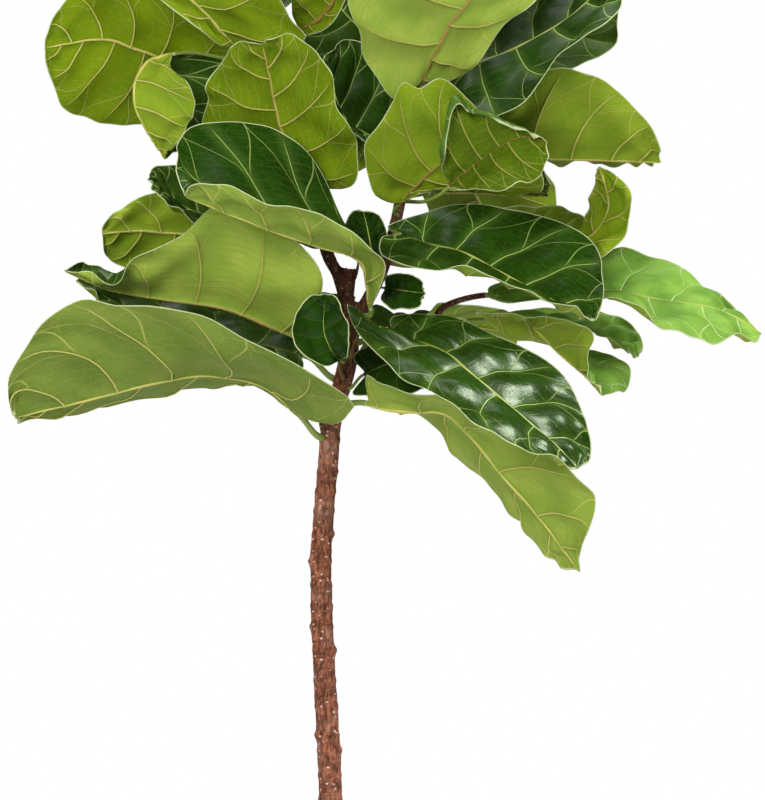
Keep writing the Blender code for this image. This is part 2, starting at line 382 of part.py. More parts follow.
def leaf_sections(leaf):
    """Closed ten-cornered sections along one leaf, from the foot of its stalk to its tip."""
    centre, along, radius = wood_at(leaf.wood, leaf.height)
    base, tip = np.array(leaf.rib[0], float), np.array(leaf.rib[-1], float)
    out = base - centre
    out = unit(out - along * np.dot(out, along))
    foot = centre + out * (radius + STALK_GAP)
    stations = np.array(BLADE_STATIONS)
    rib = smooth_curve(leaf.rib, np.concatenate([[0.0], stations, [1.0]]))
    left = smooth_curve([base, *leaf.left, tip], stations)
    right = smooth_curve([base, *leaf.right, tip], stations)
    heading = unit(rib[1] - rib[0])
    across = unit(left[1] - right[1])
    upper = unit(np.cross(heading, across))

    sections = []
    reach = np.linalg.norm(base - foot)
    bends = np.array([foot, foot + out * 0.35 * reach, base - heading * 0.35 * reach, base])
    for share in STALK_STATIONS + (1.0,):
        weights = np.array([(1 - share)**3, 3 * share * (1 - share)**2, 3 * share**2 * (1 - share), share**3])
        point = weights @ bends
        slope = unit(3 * (1 - share)**2 * (bends[1] - bends[0]) + 6 * share * (1 - share) * (bends[2] - bends[1])
                     + 3 * share**2 * (bends[3] - bends[2]))
        side = unit(across - slope * np.dot(across, slope))
        over = np.cross(slope, side)
        size = STALK_FOOT_RADIUS + (STALK_RADIUS - STALK_FOOT_RADIUS) * share
        sections.append([point + size * (math.cos(a) * side + math.sin(a) * over) for a in SECTION_ANGLES])

    for index in range(len(stations)):
        middle = rib[index + 1]
        ahead = unit(rib[index + 2] - rib[index])
        half_left, half_right = left[index] - middle, right[index] - middle
        over_left = unit(np.cross(ahead, half_left))
        over_right = unit(np.cross(half_right, ahead))
        over = unit(over_left + over_right)
        sag_left = -leaf.curl * np.linalg.norm(half_left) * over_left
        sag_right = -leaf.curl * np.linalg.norm(half_right) * over_right
        row = [left[index], middle + 0.5 * half_left + sag_left, middle,
               middle + 0.5 * half_right + sag_right, right[index]]
        faces = [over_left, over_left, over, over_right, over_right]
        top = [p + 0.5 * BLADE_THICKNESS * n for p, n in zip(row, faces)]
        bottom = [p - 0.5 * BLADE_THICKNESS * n for p, n in zip(row, faces)]
        sections.append(top + bottom[::-1])

    ahead = unit(tip - rib[-2])
    side = unit(left[-1] - right[-1])
    side = unit(side - ahead * np.dot(side, ahead))
    over = np.cross(ahead, side)
    sections.append([tip + TIP_RADIUS * (math.cos(a) * side + math.sin(a) * over) for a in SECTION_ANGLES])
    return sections


def material(name):
    """A Principled material with the named finish."""
    made = bpy.data.materials.get(name)
    if made:
        return made
    colour, roughness = MATERIALS[name]
    made = bpy.data.materials.new(name)
    made.use_nodes = True
    shader = made.node_tree.nodes["Principled BSDF"]
    shader.inputs["Base Color"].default_value = (*colour, 1.0)
    shader.inputs["Roughness"].default_value = roughness
    shader.inputs["Metallic"].default_value = 0.0
    return made


def collection(name):
    """A new collection in the scene."""
    made = bpy.data.collections.new(name)
    bpy.context.scene.collection.children.link(made)
    return made


def place(name, data, home, finish):
    """A new object with its material, in its collection."""
    made = bpy.data.objects.new(name, data)
    data.materials.append(material(finish))
    home.objects.link(made)
    return made


def turned(name, profile, home, finish):
    """A profile of (radius, height) points turned about Z, running down its outer side."""
    mesh = bpy.data.meshes.new(name)
    shape = bmesh.new()
    corners = [shape.verts.new((radius, 0.0, height)) for radius, height in profile]
    for first, second in zip(corners, corners[1:]):
        shape.edges.new((first, second))
    shape.to_mesh(mesh)
    shape.free()
    made = place(name, mesh, home, finish)
    screw = made.modifiers.new("turn", "SCREW")
    screw.steps = TURNED_SIDES
    screw.render_steps = TURNED_SIDES
    screw.use_merge_vertices = True
    screw.merge_threshold = 0.0001
    screw.use_smooth_shade = True
    return made


def pot(home, cutters):
    """The planter: a tapered wall with a rounded rim, a flat floor and drain holes."""
    inner_top = POT_TOP_RADIUS - POT_WALL
    inner_base = POT_BASE_RADIUS - POT_WALL
    profile = []
    for step in range(7):
        angle = math.pi * step / 6
        profile.append((POT_TOP_RADIUS - POT_WALL / 2 - math.cos(angle) * POT_WALL / 2,
                        POT_HEIGHT - POT_RIM_ROUND + math.sin(angle) * POT_RIM_ROUND))
    profile += [(POT_BASE_RADIUS, 0.004), (POT_BASE_RADIUS - 0.004, 0.0), (0.0, 0.0)]
    profile = [(0.0, POT_FLOOR), (inner_base, POT_FLOOR), (inner_top, profile[0][1])] + profile[1:]
    made = turned("pot", profile, home, "stoneware")
    for hole in range(DRAIN_HOLES):
        angle = 2 * math.pi * (hole + 0.5) / DRAIN_HOLES
        mesh = bpy.data.meshes.new("drain")
        shape = bmesh.new()
        bmesh.ops.create_cone(shape, cap_ends=True, segments=16, radius1=DRAIN_RADIUS, radius2=DRAIN_RADIUS,
                              depth=4 * POT_FLOOR)
        shape.to_mesh(mesh)
        shape.free()
        cutter = bpy.data.objects.new(f"drain_cutter_{hole + 1}", mesh)
        cutter.location = (DRAIN_CIRCLE * math.cos(angle), DRAIN_CIRCLE * math.sin(angle), 0.0)
        cutter.hide_render = True
        cutter.display_type = "WIRE"
        cutters.objects.link(cutter)
        cut = made.modifiers.new(f"drain_{hole + 1}", "BOOLEAN")
        cut.operation = "DIFFERENCE"
        cut.object = cutter


def soil(home):
    """The soil: it fills the pot up to its level, with a socket for the trunk."""
    floor = POT_FLOOR + GAP
    slope = (POT_TOP_RADIUS - POT_BASE_RADIUS) / (POT_HEIGHT - POT_RIM_ROUND - POT_FLOOR)
    inner_base = POT_BASE_RADIUS - POT_WALL - 2 * GAP
    surface = inner_base + slope * (SOIL_LEVEL - POT_FLOOR)
    socket = WOOD_RADII["trunk"][0] + 2 * GAP
    turned("soil", [(0.0, SOIL_LEVEL - SOCKET_DEPTH - GAP), (socket, SOIL_LEVEL - SOCKET_DEPTH - GAP),
                    (socket, SOIL_LEVEL), (surface, SOIL_LEVEL), (inner_base, floor), (0.0, floor)],
           home, "soil")


def wood_tube(name, home):
    """One length of wood as a closed mesh that tapers along its centre line."""
    curve = bpy.data.curves.new(name, "CURVE")
    curve.dimensions = "3D"
    curve.bevel_depth = 1.0
    curve.bevel_resolution = WOOD_BEVEL_RESOLUTION
    curve.use_fill_caps = True
    line = smooth_curve(WOOD_POINTS[name], np.linspace(0.0, 1.0, 2 * len(WOOD_POINTS[name])))
    if name == "trunk":
        line[0:2, 0:2] = 0.0
    spline = curve.splines.new("POLY")
    spline.points.add(len(line) - 1)
    start_radius, end_radius = WOOD_RADII[name]
    for index, point in enumerate(line):
        spline.points[index].co = (*point, 1.0)
        spline.points[index].radius = start_radius + (end_radius - start_radius) * index / (len(line) - 1)
    tube = bpy.data.objects.new(name, curve)
    home.objects.link(tube)
    bpy.context.view_layer.update()
    mesh = bpy.data.meshes.new_from_object(tube.evaluated_get(bpy.context.evaluated_depsgraph_get()))
    bpy.data.objects.remove(tube)
    shape = bmesh.new()
    shape.from_mesh(mesh)
    bmesh.ops.remove_doubles(shape, verts=shape.verts, dist=0.00002)
    shape.to_mesh(mesh)
    shape.free()
    return mesh


def trunk(home, cutters):
    """The wood: the branches and the twig grow out of the trunk as one body."""
    made = place("trunk", wood_tube("trunk", home), home, "bark")
    for name in ("left", "right", "twig"):
        limb = bpy.data.objects.new(f"limb_{name}", wood_tube(name, home))
        limb.hide_render = True
        limb.display_type = "WIRE"
        cutters.objects.link(limb)
        join = made.modifiers.new(name, "BOOLEAN")
        join.operation = "UNION"
        join.object = limb


def bud(name, wood, home):
    """A closed end bud: a slim spindle that stands on the end of a branch."""
    line = smooth_curve(WOOD_POINTS[wood], (0.97, 1.0))
    along = unit(line[1] - line[0])
    turn = np.array([0.0, 0.0, 1.0])
    mesh = bpy.data.meshes.new(name)
    shape = bmesh.new()
    bmesh.ops.create_cone(shape, cap_ends=True, segments=BUD_SIDES, radius1=BUD_RADIUS, radius2=0.0006,
                          depth=BUD_LENGTH)
    side = unit(np.cross(along, turn + 0.2))
    other = np.cross(along, side)
    middle = line[1] + along * (BUD_LENGTH / 2 + GAP)
    for corner in shape.verts:
        x, y, z = corner.co
        corner.co = middle + x * side + y * other + z * along
    bmesh.ops.recalc_face_normals(shape, faces=shape.faces)
    shape.to_mesh(mesh)
    shape.free()
    place(name, mesh, home, "bud")


def leaf_body(leaf, home):
    """One leaf as a closed loft through its sections, capped at the stalk's foot and at the tip."""
    sections = leaf_sections(leaf)
    mesh = bpy.data.meshes.new(leaf.name)
    shape = bmesh.new()
    rings = [[shape.verts.new(point) for point in section] for section in sections]
    corners = len(SECTION_ANGLES)
    for near, far in zip(rings, rings[1:]):
        for corner in range(corners):
            after = (corner + 1) % corners
            shape.faces.new((near[corner], near[after], far[after], far[corner]))
    shape.faces.new(rings[0][::-1])
    shape.faces.new(rings[-1])
    bmesh.ops.triangulate(shape, faces=shape.faces)
    bmesh.ops.recalc_face_normals(shape, faces=shape.faces)
    shape.to_mesh(mesh)
    shape.free()
    place(leaf.name, mesh, home, "leaf")


def all_leaves():
    """Every leaf of the crown."""
    return LEAVES + [grown_leaf(grown) for grown in GROWN_LEAVES]


def main():
    """Clears the scene and builds the plant."""
    for old in list(bpy.data.objects):
        bpy.data.objects.remove(old)
    home = collection(OBJECT_NAME)
    cutters = collection("cutters")
    pot(home, cutters)
    soil(home)
    trunk(home, cutters)
    bud("bud_left", "left", home)
    bud("bud_right", "right", home)
    for leaf in all_leaves():
        leaf_body(leaf, home)


if __name__ == "__main__":
    main()
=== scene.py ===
"""Potted fiddle leaf fig, grown as a standard: a bare trunk, a forked crown of large leaves, and a plain pot.

Metres, +Z up. The origin is the middle of the pot's base, and -Y is the front of the plant.
Every leaf is one closed body: a stalk that runs on as the midrib, a quilted blade with raised veins
underneath, and a rippled pale margin.
"""

import json
import math
from collections import namedtuple

import bmesh
import bpy
import numpy as np
from bpy.props import FloatProperty, FloatVectorProperty, PointerProperty
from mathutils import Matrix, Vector, noise

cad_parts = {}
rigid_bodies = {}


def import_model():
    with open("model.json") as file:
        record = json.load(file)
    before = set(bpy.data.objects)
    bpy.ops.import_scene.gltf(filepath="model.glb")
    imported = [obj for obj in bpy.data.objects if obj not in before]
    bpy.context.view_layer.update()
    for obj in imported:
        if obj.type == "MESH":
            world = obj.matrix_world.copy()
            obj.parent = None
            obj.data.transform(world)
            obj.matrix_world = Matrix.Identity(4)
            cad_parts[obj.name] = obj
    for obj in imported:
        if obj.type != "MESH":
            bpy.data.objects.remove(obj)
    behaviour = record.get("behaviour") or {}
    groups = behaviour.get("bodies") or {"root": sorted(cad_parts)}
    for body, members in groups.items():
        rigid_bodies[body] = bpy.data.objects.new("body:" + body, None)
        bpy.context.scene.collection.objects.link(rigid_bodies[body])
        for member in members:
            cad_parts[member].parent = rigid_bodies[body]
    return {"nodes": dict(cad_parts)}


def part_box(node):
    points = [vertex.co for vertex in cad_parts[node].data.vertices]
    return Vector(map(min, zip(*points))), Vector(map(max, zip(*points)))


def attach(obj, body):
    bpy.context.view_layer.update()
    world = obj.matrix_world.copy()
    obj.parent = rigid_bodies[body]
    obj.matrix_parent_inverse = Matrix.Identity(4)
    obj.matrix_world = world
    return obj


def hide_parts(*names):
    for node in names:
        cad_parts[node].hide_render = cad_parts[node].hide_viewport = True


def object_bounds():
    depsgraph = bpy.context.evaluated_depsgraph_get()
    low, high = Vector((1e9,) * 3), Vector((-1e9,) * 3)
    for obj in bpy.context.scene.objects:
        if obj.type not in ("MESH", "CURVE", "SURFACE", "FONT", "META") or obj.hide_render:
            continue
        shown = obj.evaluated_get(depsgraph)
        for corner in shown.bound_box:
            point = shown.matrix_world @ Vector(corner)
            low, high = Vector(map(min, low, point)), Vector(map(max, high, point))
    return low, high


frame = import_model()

CAD_BOX = [list(corner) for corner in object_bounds()]

bl_info = {
    "name": "Potted fiddle leaf fig",
    "version": (1, 0, 0),
    "blender": (4, 5, 0),
    "location": "3D View > Sidebar > Fig",
    "description": "Models the leaves, bark, buds, soil and pot of a fiddle leaf fig, and its plain studio",
    "category": "Object",
}

# Pot: a tapered stoneware planter with off-centre drain holes.
POT_HEIGHT = 0.280
POT_TOP_RADIUS = 0.150
POT_BASE_RADIUS = 0.112
POT_FLOOR = 0.014
POT_RIM_ROUND = 0.004

# Soil: fills the pot to a little below its rim and holds the foot of the trunk.
SOIL_LEVEL = 0.246

# Wood: centre lines and end radii of the trunk, its two branches and a side twig.
WOOD_POINTS = {
    "trunk": [
        (0.000, 0.000, 0.186), (0.000, 0.000, 0.252), (0.002, 0.001, 0.360), (0.001, 0.000, 0.452),
        (-0.003, -0.002, 0.540), (-0.008, -0.002, 0.634), (-0.011, 0.000, 0.738), (-0.008, 0.002, 0.790),
        (-0.002, 0.002, 0.860), (0.003, 0.002, 0.912), (0.016, 0.003, 0.955), (0.022, 0.003, 0.985),
        (0.025, 0.003, 1.018), (0.020, 0.004, 1.050), (0.024, 0.004, 1.092),
    ],
    "left": [
        (0.020, 0.004, 1.046), (0.010, 0.008, 1.082), (-0.004, 0.010, 1.110), (-0.018, 0.010, 1.160),
        (-0.036, 0.008, 1.215), (-0.056, 0.006, 1.270), (-0.070, 0.004, 1.330), (-0.072, 0.006, 1.400),
        (-0.066, 0.010, 1.480), (-0.062, 0.012, 1.530),
    ],
    "right": [
        (0.024, 0.003, 1.016), (0.044, 0.012, 1.050), (0.064, 0.018, 1.092), (0.080, 0.022, 1.150),
        (0.092, 0.026, 1.220), (0.100, 0.028, 1.300), (0.100, 0.030, 1.390), (0.096, 0.032, 1.480),
        (0.092, 0.034, 1.560),
    ],
    "twig": [
        (0.034, 0.006, 1.016), (0.070, 0.022, 1.020), (0.100, 0.024, 1.026), (0.132, 0.016, 1.036),
    ],
}
WOOD_RADII = {
    "trunk": (0.0155, 0.0110), "left": (0.0105, 0.0060), "right": (0.0105, 0.0060), "twig": (0.0060, 0.0040),
}
BUD_LENGTH = 0.042
BUD_RADIUS = 0.0050

# Leaves: how far a half blade sags from the straight line to its margin, as a share of its width, and the
# radii of a stalk.
BLADE_CURL = 0.10
STALK_RADIUS = 0.0032
STALK_FOOT_RADIUS = 0.0042

# name, wood it grows from, height of its foot, then points along the midrib and both margins, and its curl.
# Left and right are as seen along the leaf from its foot, with its upper face up.
Leaf = namedtuple("Leaf", "name wood height rib left right curl")

LEAVES = [
    Leaf("leaf_low_left", "trunk", 0.885,
         [(-0.036, -0.030, 0.914), (-0.079, -0.050, 0.950), (-0.148, -0.070, 0.962), (-0.217, -0.080, 0.950),
          (-0.286, -0.085, 0.932), (-0.370, -0.085, 0.912)],
         [(-0.016, -0.048, 0.907), (0.006, -0.062, 0.903), (0.020, -0.074, 0.912), (0.026, -0.086, 0.932),
          (-0.030, -0.110, 0.972), (-0.092, -0.130, 1.002), (-0.154, -0.140, 1.035), (-0.245, -0.138, 1.044),
          (-0.295, -0.132, 1.052), (-0.348, -0.122, 1.012), (-0.380, -0.105, 0.950)],
         [(-0.050, 0.005, 0.925), (-0.110, 0.022, 0.952), (-0.200, 0.025, 0.945), (-0.290, 0.010, 0.925),
          (-0.350, -0.035, 0.912)], 0.10),
    Leaf("leaf_mid_left", "trunk", 0.985,
         [(-0.022, -0.030, 1.000), (-0.066, -0.048, 1.018), (-0.125, -0.062, 1.041), (-0.192, -0.070, 1.051),
          (-0.260, -0.065, 1.063), (-0.316, -0.055, 1.086)],
         [(-0.030, -0.060, 1.012), (-0.010, -0.076, 1.056), (-0.018, -0.096, 1.104), (-0.080, -0.108, 1.150),
          (-0.125, -0.112, 1.166), (-0.170, -0.120, 1.128), (-0.225, -0.122, 1.103), (-0.254, -0.108, 1.070),
          (-0.285, -0.085, 1.080)],
         [(-0.040, 0.010, 1.010), (-0.100, 0.030, 1.040), (-0.170, 0.035, 1.065), (-0.240, 0.020, 1.085),
          (-0.290, -0.020, 1.095)], 0.10),
    Leaf("leaf_arch_left", "trunk", 1.030,
         [(0.050, -0.040, 1.040), (0.037, -0.080, 1.096), (-0.011, -0.115, 1.113), (-0.053, -0.138, 1.126),
          (-0.102, -0.155, 1.144), (-0.168, -0.165, 1.170)],
         [(0.058, -0.080, 1.062), (0.066, -0.105, 1.092), (0.048, -0.140, 1.113), (-0.006, -0.178, 1.148),
          (-0.064, -0.195, 1.160), (-0.118, -0.198, 1.180), (-0.155, -0.188, 1.184)],
         [(0.040, -0.045, 1.105), (0.017, -0.062, 1.142), (-0.012, -0.062, 1.208), (-0.052, -0.080, 1.245),
          (-0.089, -0.085, 1.264), (-0.160, -0.098, 1.258), (-0.184, -0.122, 1.227),
          (-0.174, -0.148, 1.202)], 0.10),
    Leaf("leaf_front_cup", "trunk", 1.000,
         [(0.014, -0.062, 0.978), (0.004, -0.082, 0.988), (-0.006, -0.090, 1.012), (-0.006, -0.092, 1.038),
          (-0.004, -0.096, 1.058)],
         [(-0.006, -0.098, 0.972), (-0.032, -0.112, 0.986), (-0.044, -0.112, 1.012), (-0.038, -0.110, 1.038),
          (-0.020, -0.104, 1.054)],
         [(0.022, -0.084, 0.984), (0.024, -0.102, 1.004), (0.020, -0.108, 1.030),
          (0.008, -0.104, 1.052)], 0.16),
    Leaf("leaf_low_right", "trunk", 1.002,
         [(0.070, -0.050, 1.012), (0.133, -0.105, 0.990), (0.166, -0.135, 0.964), (0.226, -0.165, 0.913),
          (0.266, -0.180, 0.878), (0.290, -0.188, 0.852)],
         [(0.076, -0.030, 1.032), (0.120, -0.060, 1.034), (0.174, -0.085, 1.020), (0.234, -0.115, 0.992),
          (0.270, -0.135, 0.968), (0.302, -0.160, 0.908), (0.306, -0.178, 0.868)],
         [(0.040, -0.052, 1.034), (0.021, -0.058, 1.046), (0.027, -0.070, 1.026), (0.046, -0.104, 0.996),
          (0.084, -0.150, 0.960), (0.138, -0.185, 0.926), (0.192, -0.205, 0.896),
          (0.258, -0.210, 0.860)], 0.08),
    Leaf("leaf_low_right_hanging", "trunk", 0.930,
         [(0.044, -0.030, 0.928), (0.084, -0.050, 0.919), (0.132, -0.075, 0.918), (0.162, -0.090, 0.896),
          (0.209, -0.110, 0.838), (0.246, -0.115, 0.796), (0.295, -0.120, 0.730)],
         [(0.070, 0.015, 0.930), (0.120, 0.020, 0.905), (0.175, -0.010, 0.845), (0.215, -0.045, 0.800),
          (0.255, -0.080, 0.750)],
         [(0.044, -0.056, 0.962), (0.060, -0.078, 0.951), (0.096, -0.110, 0.942), (0.168, -0.145, 0.928),
          (0.240, -0.150, 0.890), (0.300, -0.155, 0.835), (0.313, -0.150, 0.806),
          (0.297, -0.135, 0.757)], 0.08),
    Leaf("leaf_shade_left", "trunk", 0.955,
         [(-0.030, 0.020, 0.985), (-0.090, 0.035, 1.000), (-0.160, 0.040, 1.015), (-0.230, 0.030, 1.035),
          (-0.305, 0.000, 1.075)],
         [(-0.040, -0.030, 0.965), (-0.100, -0.040, 0.988), (-0.180, -0.035, 1.002), (-0.250, -0.025, 1.028)],
         [(-0.030, 0.075, 1.030), (-0.100, 0.092, 1.052), (-0.180, 0.088, 1.068), (-0.250, 0.056, 1.084),
          (-0.290, 0.024, 1.090)], 0.08),
    Leaf("leaf_mid_right", "right", 1.118,
         [(0.086, -0.030, 1.130), (0.120, -0.055, 1.117), (0.158, -0.080, 1.107), (0.202, -0.100, 1.083),
          (0.244, -0.110, 1.060), (0.284, -0.115, 1.039), (0.314, -0.115, 1.026)],
         [(0.066, -0.022, 1.136), (0.076, -0.014, 1.144), (0.104, -0.010, 1.153), (0.156, -0.012, 1.167),
          (0.204, -0.016, 1.164), (0.276, -0.032, 1.146), (0.318, -0.060, 1.112), (0.326, -0.090, 1.064)],
         [(0.062, -0.050, 1.126), (0.062, -0.078, 1.104), (0.084, -0.098, 1.092), (0.120, -0.126, 1.086),
          (0.168, -0.165, 1.082), (0.240, -0.180, 1.058), (0.285, -0.160, 1.036)], 0.10),
    Leaf("leaf_right_behind", "right", 1.105,
         [(0.125, 0.070, 1.130), (0.180, 0.090, 1.126), (0.245, 0.088, 1.130), (0.314, 0.065, 1.138)],
         [(0.140, 0.120, 1.130), (0.210, 0.145, 1.135), (0.280, 0.120, 1.142)],
         [(0.140, 0.050, 1.150), (0.200, 0.045, 1.164), (0.250, 0.042, 1.168), (0.305, 0.042, 1.156)], 0.08),
    Leaf("leaf_far_right", "twig", 1.0355,
         [(0.186, 0.010, 1.058), (0.250, 0.005, 1.063), (0.325, -0.010, 1.064), (0.400, -0.020, 1.051),
          (0.463, -0.030, 1.040), (0.515, -0.040, 1.011)],
         [(0.200, 0.050, 1.075), (0.260, 0.060, 1.095), (0.322, 0.045, 1.103), (0.364, 0.035, 1.114),
          (0.415, 0.020, 1.098), (0.450, 0.000, 1.070), (0.480, -0.020, 1.040)],
         [(0.200, -0.035, 1.052), (0.260, -0.055, 1.058), (0.323, -0.065, 1.052), (0.366, -0.072, 1.032),
          (0.432, -0.072, 1.012), (0.480, -0.062, 0.998), (0.503, -0.050, 0.998)], 0.08),
    Leaf("leaf_right_small", "twig", 1.030,
         [(0.200, 0.075, 1.030), (0.270, 0.070, 1.028), (0.330, 0.055, 1.012), (0.372, 0.032, 0.984)],
         [(0.220, 0.115, 1.040), (0.290, 0.110, 1.045), (0.350, 0.080, 1.034), (0.376, 0.052, 1.008)],
         [(0.210, 0.045, 1.022), (0.260, 0.035, 1.018), (0.313, 0.022, 1.018), (0.341, 0.015, 0.998),
          (0.360, 0.018, 0.990)], 0.08),
    Leaf("leaf_right_hanging", "twig", 1.0335,
         [(0.175, -0.012, 1.036), (0.230, -0.018, 1.032), (0.249, -0.022, 1.014), (0.274, -0.030, 0.988),
          (0.305, -0.038, 0.960), (0.325, -0.038, 0.937)],
         [(0.210, 0.012, 1.012), (0.270, 0.010, 0.995), (0.340, 0.000, 0.985), (0.361, -0.008, 0.969),
          (0.354, -0.022, 0.943)],
         [(0.205, -0.045, 1.034), (0.284, -0.080, 1.028), (0.311, -0.080, 1.010), (0.307, -0.074, 0.990),
          (0.310, -0.058, 0.963)], 0.08),
    Leaf("leaf_right_upright", "right", 1.100,
         [(0.200, 0.004, 1.112), (0.270, 0.010, 1.115), (0.315, 0.015, 1.130), (0.335, 0.010, 1.165),
          (0.323, -0.005, 1.212)],
         [(0.250, -0.020, 1.102), (0.318, -0.028, 1.098), (0.356, -0.022, 1.135), (0.360, -0.014, 1.180),
          (0.342, -0.008, 1.202)],
         [(0.240, 0.024, 1.122), (0.288, 0.030, 1.130), (0.314, 0.030, 1.168), (0.316, 0.012, 1.198)], 0.08),
    Leaf("leaf_upper_right", "right", 1.250,
         [(0.150, 0.030, 1.262), (0.200, 0.020, 1.250), (0.256, 0.010, 1.224), (0.294, 0.000, 1.221),
          (0.336, -0.010, 1.219), (0.396, -0.020, 1.216)],
         [(0.170, 0.080, 1.250), (0.240, 0.100, 1.235), (0.310, 0.090, 1.230), (0.370, 0.040, 1.222)],
         [(0.147, 0.006, 1.268), (0.158, -0.010, 1.282), (0.178, -0.020, 1.282), (0.218, -0.032, 1.290),
          (0.243, -0.040, 1.312), (0.268, -0.050, 1.327), (0.313, -0.055, 1.322), (0.350, -0.050, 1.295),
          (0.384, -0.040, 1.256)], 0.10),
    Leaf("leaf_top_right", "right", 1.285,
         [(0.140, -0.010, 1.300), (0.174, -0.025, 1.332), (0.222, -0.035, 1.352), (0.277, -0.045, 1.382),
          (0.313, -0.055, 1.412), (0.345, -0.060, 1.450)],
         [(0.145, 0.020, 1.340), (0.180, 0.030, 1.385), (0.240, 0.020, 1.425), (0.300, 0.000, 1.450)],
         [(0.148, -0.042, 1.266), (0.182, -0.066, 1.264), (0.222, -0.085, 1.279), (0.270, -0.095, 1.334),
          (0.324, -0.105, 1.376), (0.345, -0.095, 1.412)], 0.08),
    Leaf("leaf_top_right_behind", "right", 1.330,
         [(0.150, 0.060, 1.345), (0.210, 0.070, 1.375), (0.280, 0.065, 1.405), (0.355, 0.045, 1.435)],
         [(0.150, 0.110, 1.370), (0.220, 0.130, 1.410), (0.300, 0.110, 1.440)],
         [(0.170, 0.030, 1.325), (0.230, 0.012, 1.325), (0.268, 0.005, 1.328), (0.306, 0.000, 1.333),
          (0.341, 0.000, 1.362), (0.352, 0.015, 1.412)], 0.06),
    Leaf("leaf_top_centre", "right", 1.298,
         [(0.108, -0.035, 1.308), (0.122, -0.055, 1.339), (0.143, -0.080, 1.377), (0.170, -0.100, 1.412),
          (0.210, -0.125, 1.475), (0.250, -0.140, 1.540)],
         [(0.146, -0.052, 1.312), (0.182, -0.068, 1.339), (0.208, -0.082, 1.375), (0.253, -0.102, 1.412),
          (0.288, -0.120, 1.465), (0.288, -0.135, 1.515)],
         [(0.078, -0.050, 1.290), (0.056, -0.060, 1.312), (0.036, -0.068, 1.340), (0.034, -0.082, 1.370),
          (0.018, -0.100, 1.412), (0.040, -0.125, 1.470), (0.100, -0.145, 1.530),
          (0.180, -0.150, 1.560)], 0.06),
    Leaf("leaf_centre_upright", "right", 1.154,
         [(0.082, -0.030, 1.165), (0.106, -0.046, 1.190), (0.132, -0.062, 1.212), (0.170, -0.074, 1.228),
          (0.206, -0.080, 1.240)],
         [(0.100, -0.044, 1.173), (0.126, -0.050, 1.182), (0.180, -0.046, 1.180), (0.225, -0.050, 1.176),
          (0.256, -0.060, 1.182), (0.246, -0.074, 1.210)],
         [(0.064, -0.040, 1.164), (0.048, -0.052, 1.186), (0.041, -0.064, 1.214), (0.043, -0.074, 1.240),
          (0.064, -0.086, 1.266), (0.077, -0.092, 1.290), (0.087, -0.096, 1.310), (0.106, -0.098, 1.303),
          (0.130, -0.098, 1.314), (0.152, -0.097, 1.298), (0.184, -0.092, 1.268)], 0.10),
    Leaf("leaf_centre_cup", "right", 1.171,
         [(0.142, -0.086, 1.184), (0.160, -0.100, 1.200), (0.184, -0.112, 1.218), (0.222, -0.128, 1.240),
          (0.256, -0.130, 1.235)],
         [(0.152, -0.108, 1.180), (0.180, -0.132, 1.178), (0.204, -0.144, 1.176), (0.222, -0.146, 1.187),
          (0.240, -0.142, 1.186), (0.254, -0.136, 1.204)],
         [(0.134, -0.096, 1.196), (0.127, -0.118, 1.230), (0.129, -0.128, 1.274), (0.142, -0.128, 1.306),
          (0.160, -0.124, 1.288), (0.186, -0.128, 1.276), (0.212, -0.134, 1.258),
          (0.244, -0.134, 1.244)], 0.10),
    Leaf("leaf_mid_right_shade", "right", 1.178,
         [(0.118, 0.008, 1.180), (0.160, 0.012, 1.182), (0.220, 0.004, 1.178), (0.262, -0.008, 1.176)],
         [(0.130, 0.038, 1.192), (0.190, 0.042, 1.202), (0.250, 0.017, 1.192)],
         [(0.134, -0.014, 1.188), (0.180, -0.032, 1.206), (0.240, -0.044, 1.215),
          (0.262, -0.036, 1.196)], 0.06),
    Leaf("leaf_upper_left_front", "left", 1.150,
         [(-0.010, -0.032, 1.180), (-0.032, -0.050, 1.212), (-0.055, -0.072, 1.248), (-0.064, -0.086, 1.280),
          (-0.070, -0.102, 1.312), (-0.078, -0.128, 1.350)],
         [(0.002, -0.038, 1.182), (0.018, -0.044, 1.185), (0.031, -0.052, 1.193), (0.036, -0.060, 1.214),
          (0.037, -0.068, 1.238), (0.024, -0.076, 1.258), (0.009, -0.084, 1.282), (0.004, -0.094, 1.310),
          (-0.008, -0.110, 1.338), (-0.026, -0.122, 1.352), (-0.044, -0.130, 1.362), (-0.066, -0.134, 1.358)],
         [(-0.034, -0.026, 1.178), (-0.078, -0.030, 1.192), (-0.128, -0.045, 1.226), (-0.154, -0.060, 1.262),
          (-0.144, -0.075, 1.290), (-0.142, -0.088, 1.310), (-0.128, -0.105, 1.332),
          (-0.108, -0.122, 1.352)], 0.08),
    Leaf("leaf_centre_behind", "right", 1.205,
         [(0.060, 0.020, 1.222), (0.042, 0.022, 1.250), (0.026, 0.024, 1.276), (0.012, 0.022, 1.304)],
         [(0.070, 0.012, 1.222), (0.074, 0.020, 1.248), (0.062, 0.026, 1.280), (0.036, 0.025, 1.300)],
         [(0.034, 0.008, 1.206), (0.002, 0.010, 1.222), (-0.018, 0.014, 1.250), (-0.020, 0.018, 1.282),
          (-0.006, 0.020, 1.300)], 0.06),
    Leaf("leaf_centre_dark", "right", 1.235,
         [(0.078, 0.008, 1.236), (0.050, -0.018, 1.247), (0.020, -0.032, 1.266), (0.005, -0.032, 1.300),
          (-0.005, -0.022, 1.345)],
         [(0.050, -0.036, 1.236), (0.030, -0.046, 1.246), (0.010, -0.050, 1.266), (-0.006, -0.048, 1.288),
          (-0.018, -0.038, 1.320)],
         [(0.088, 0.000, 1.270), (0.080, 0.004, 1.320), (0.052, 0.004, 1.355), (0.020, -0.006, 1.365)], 0.08),
    Leaf("leaf_top_dark", "right", 1.340,
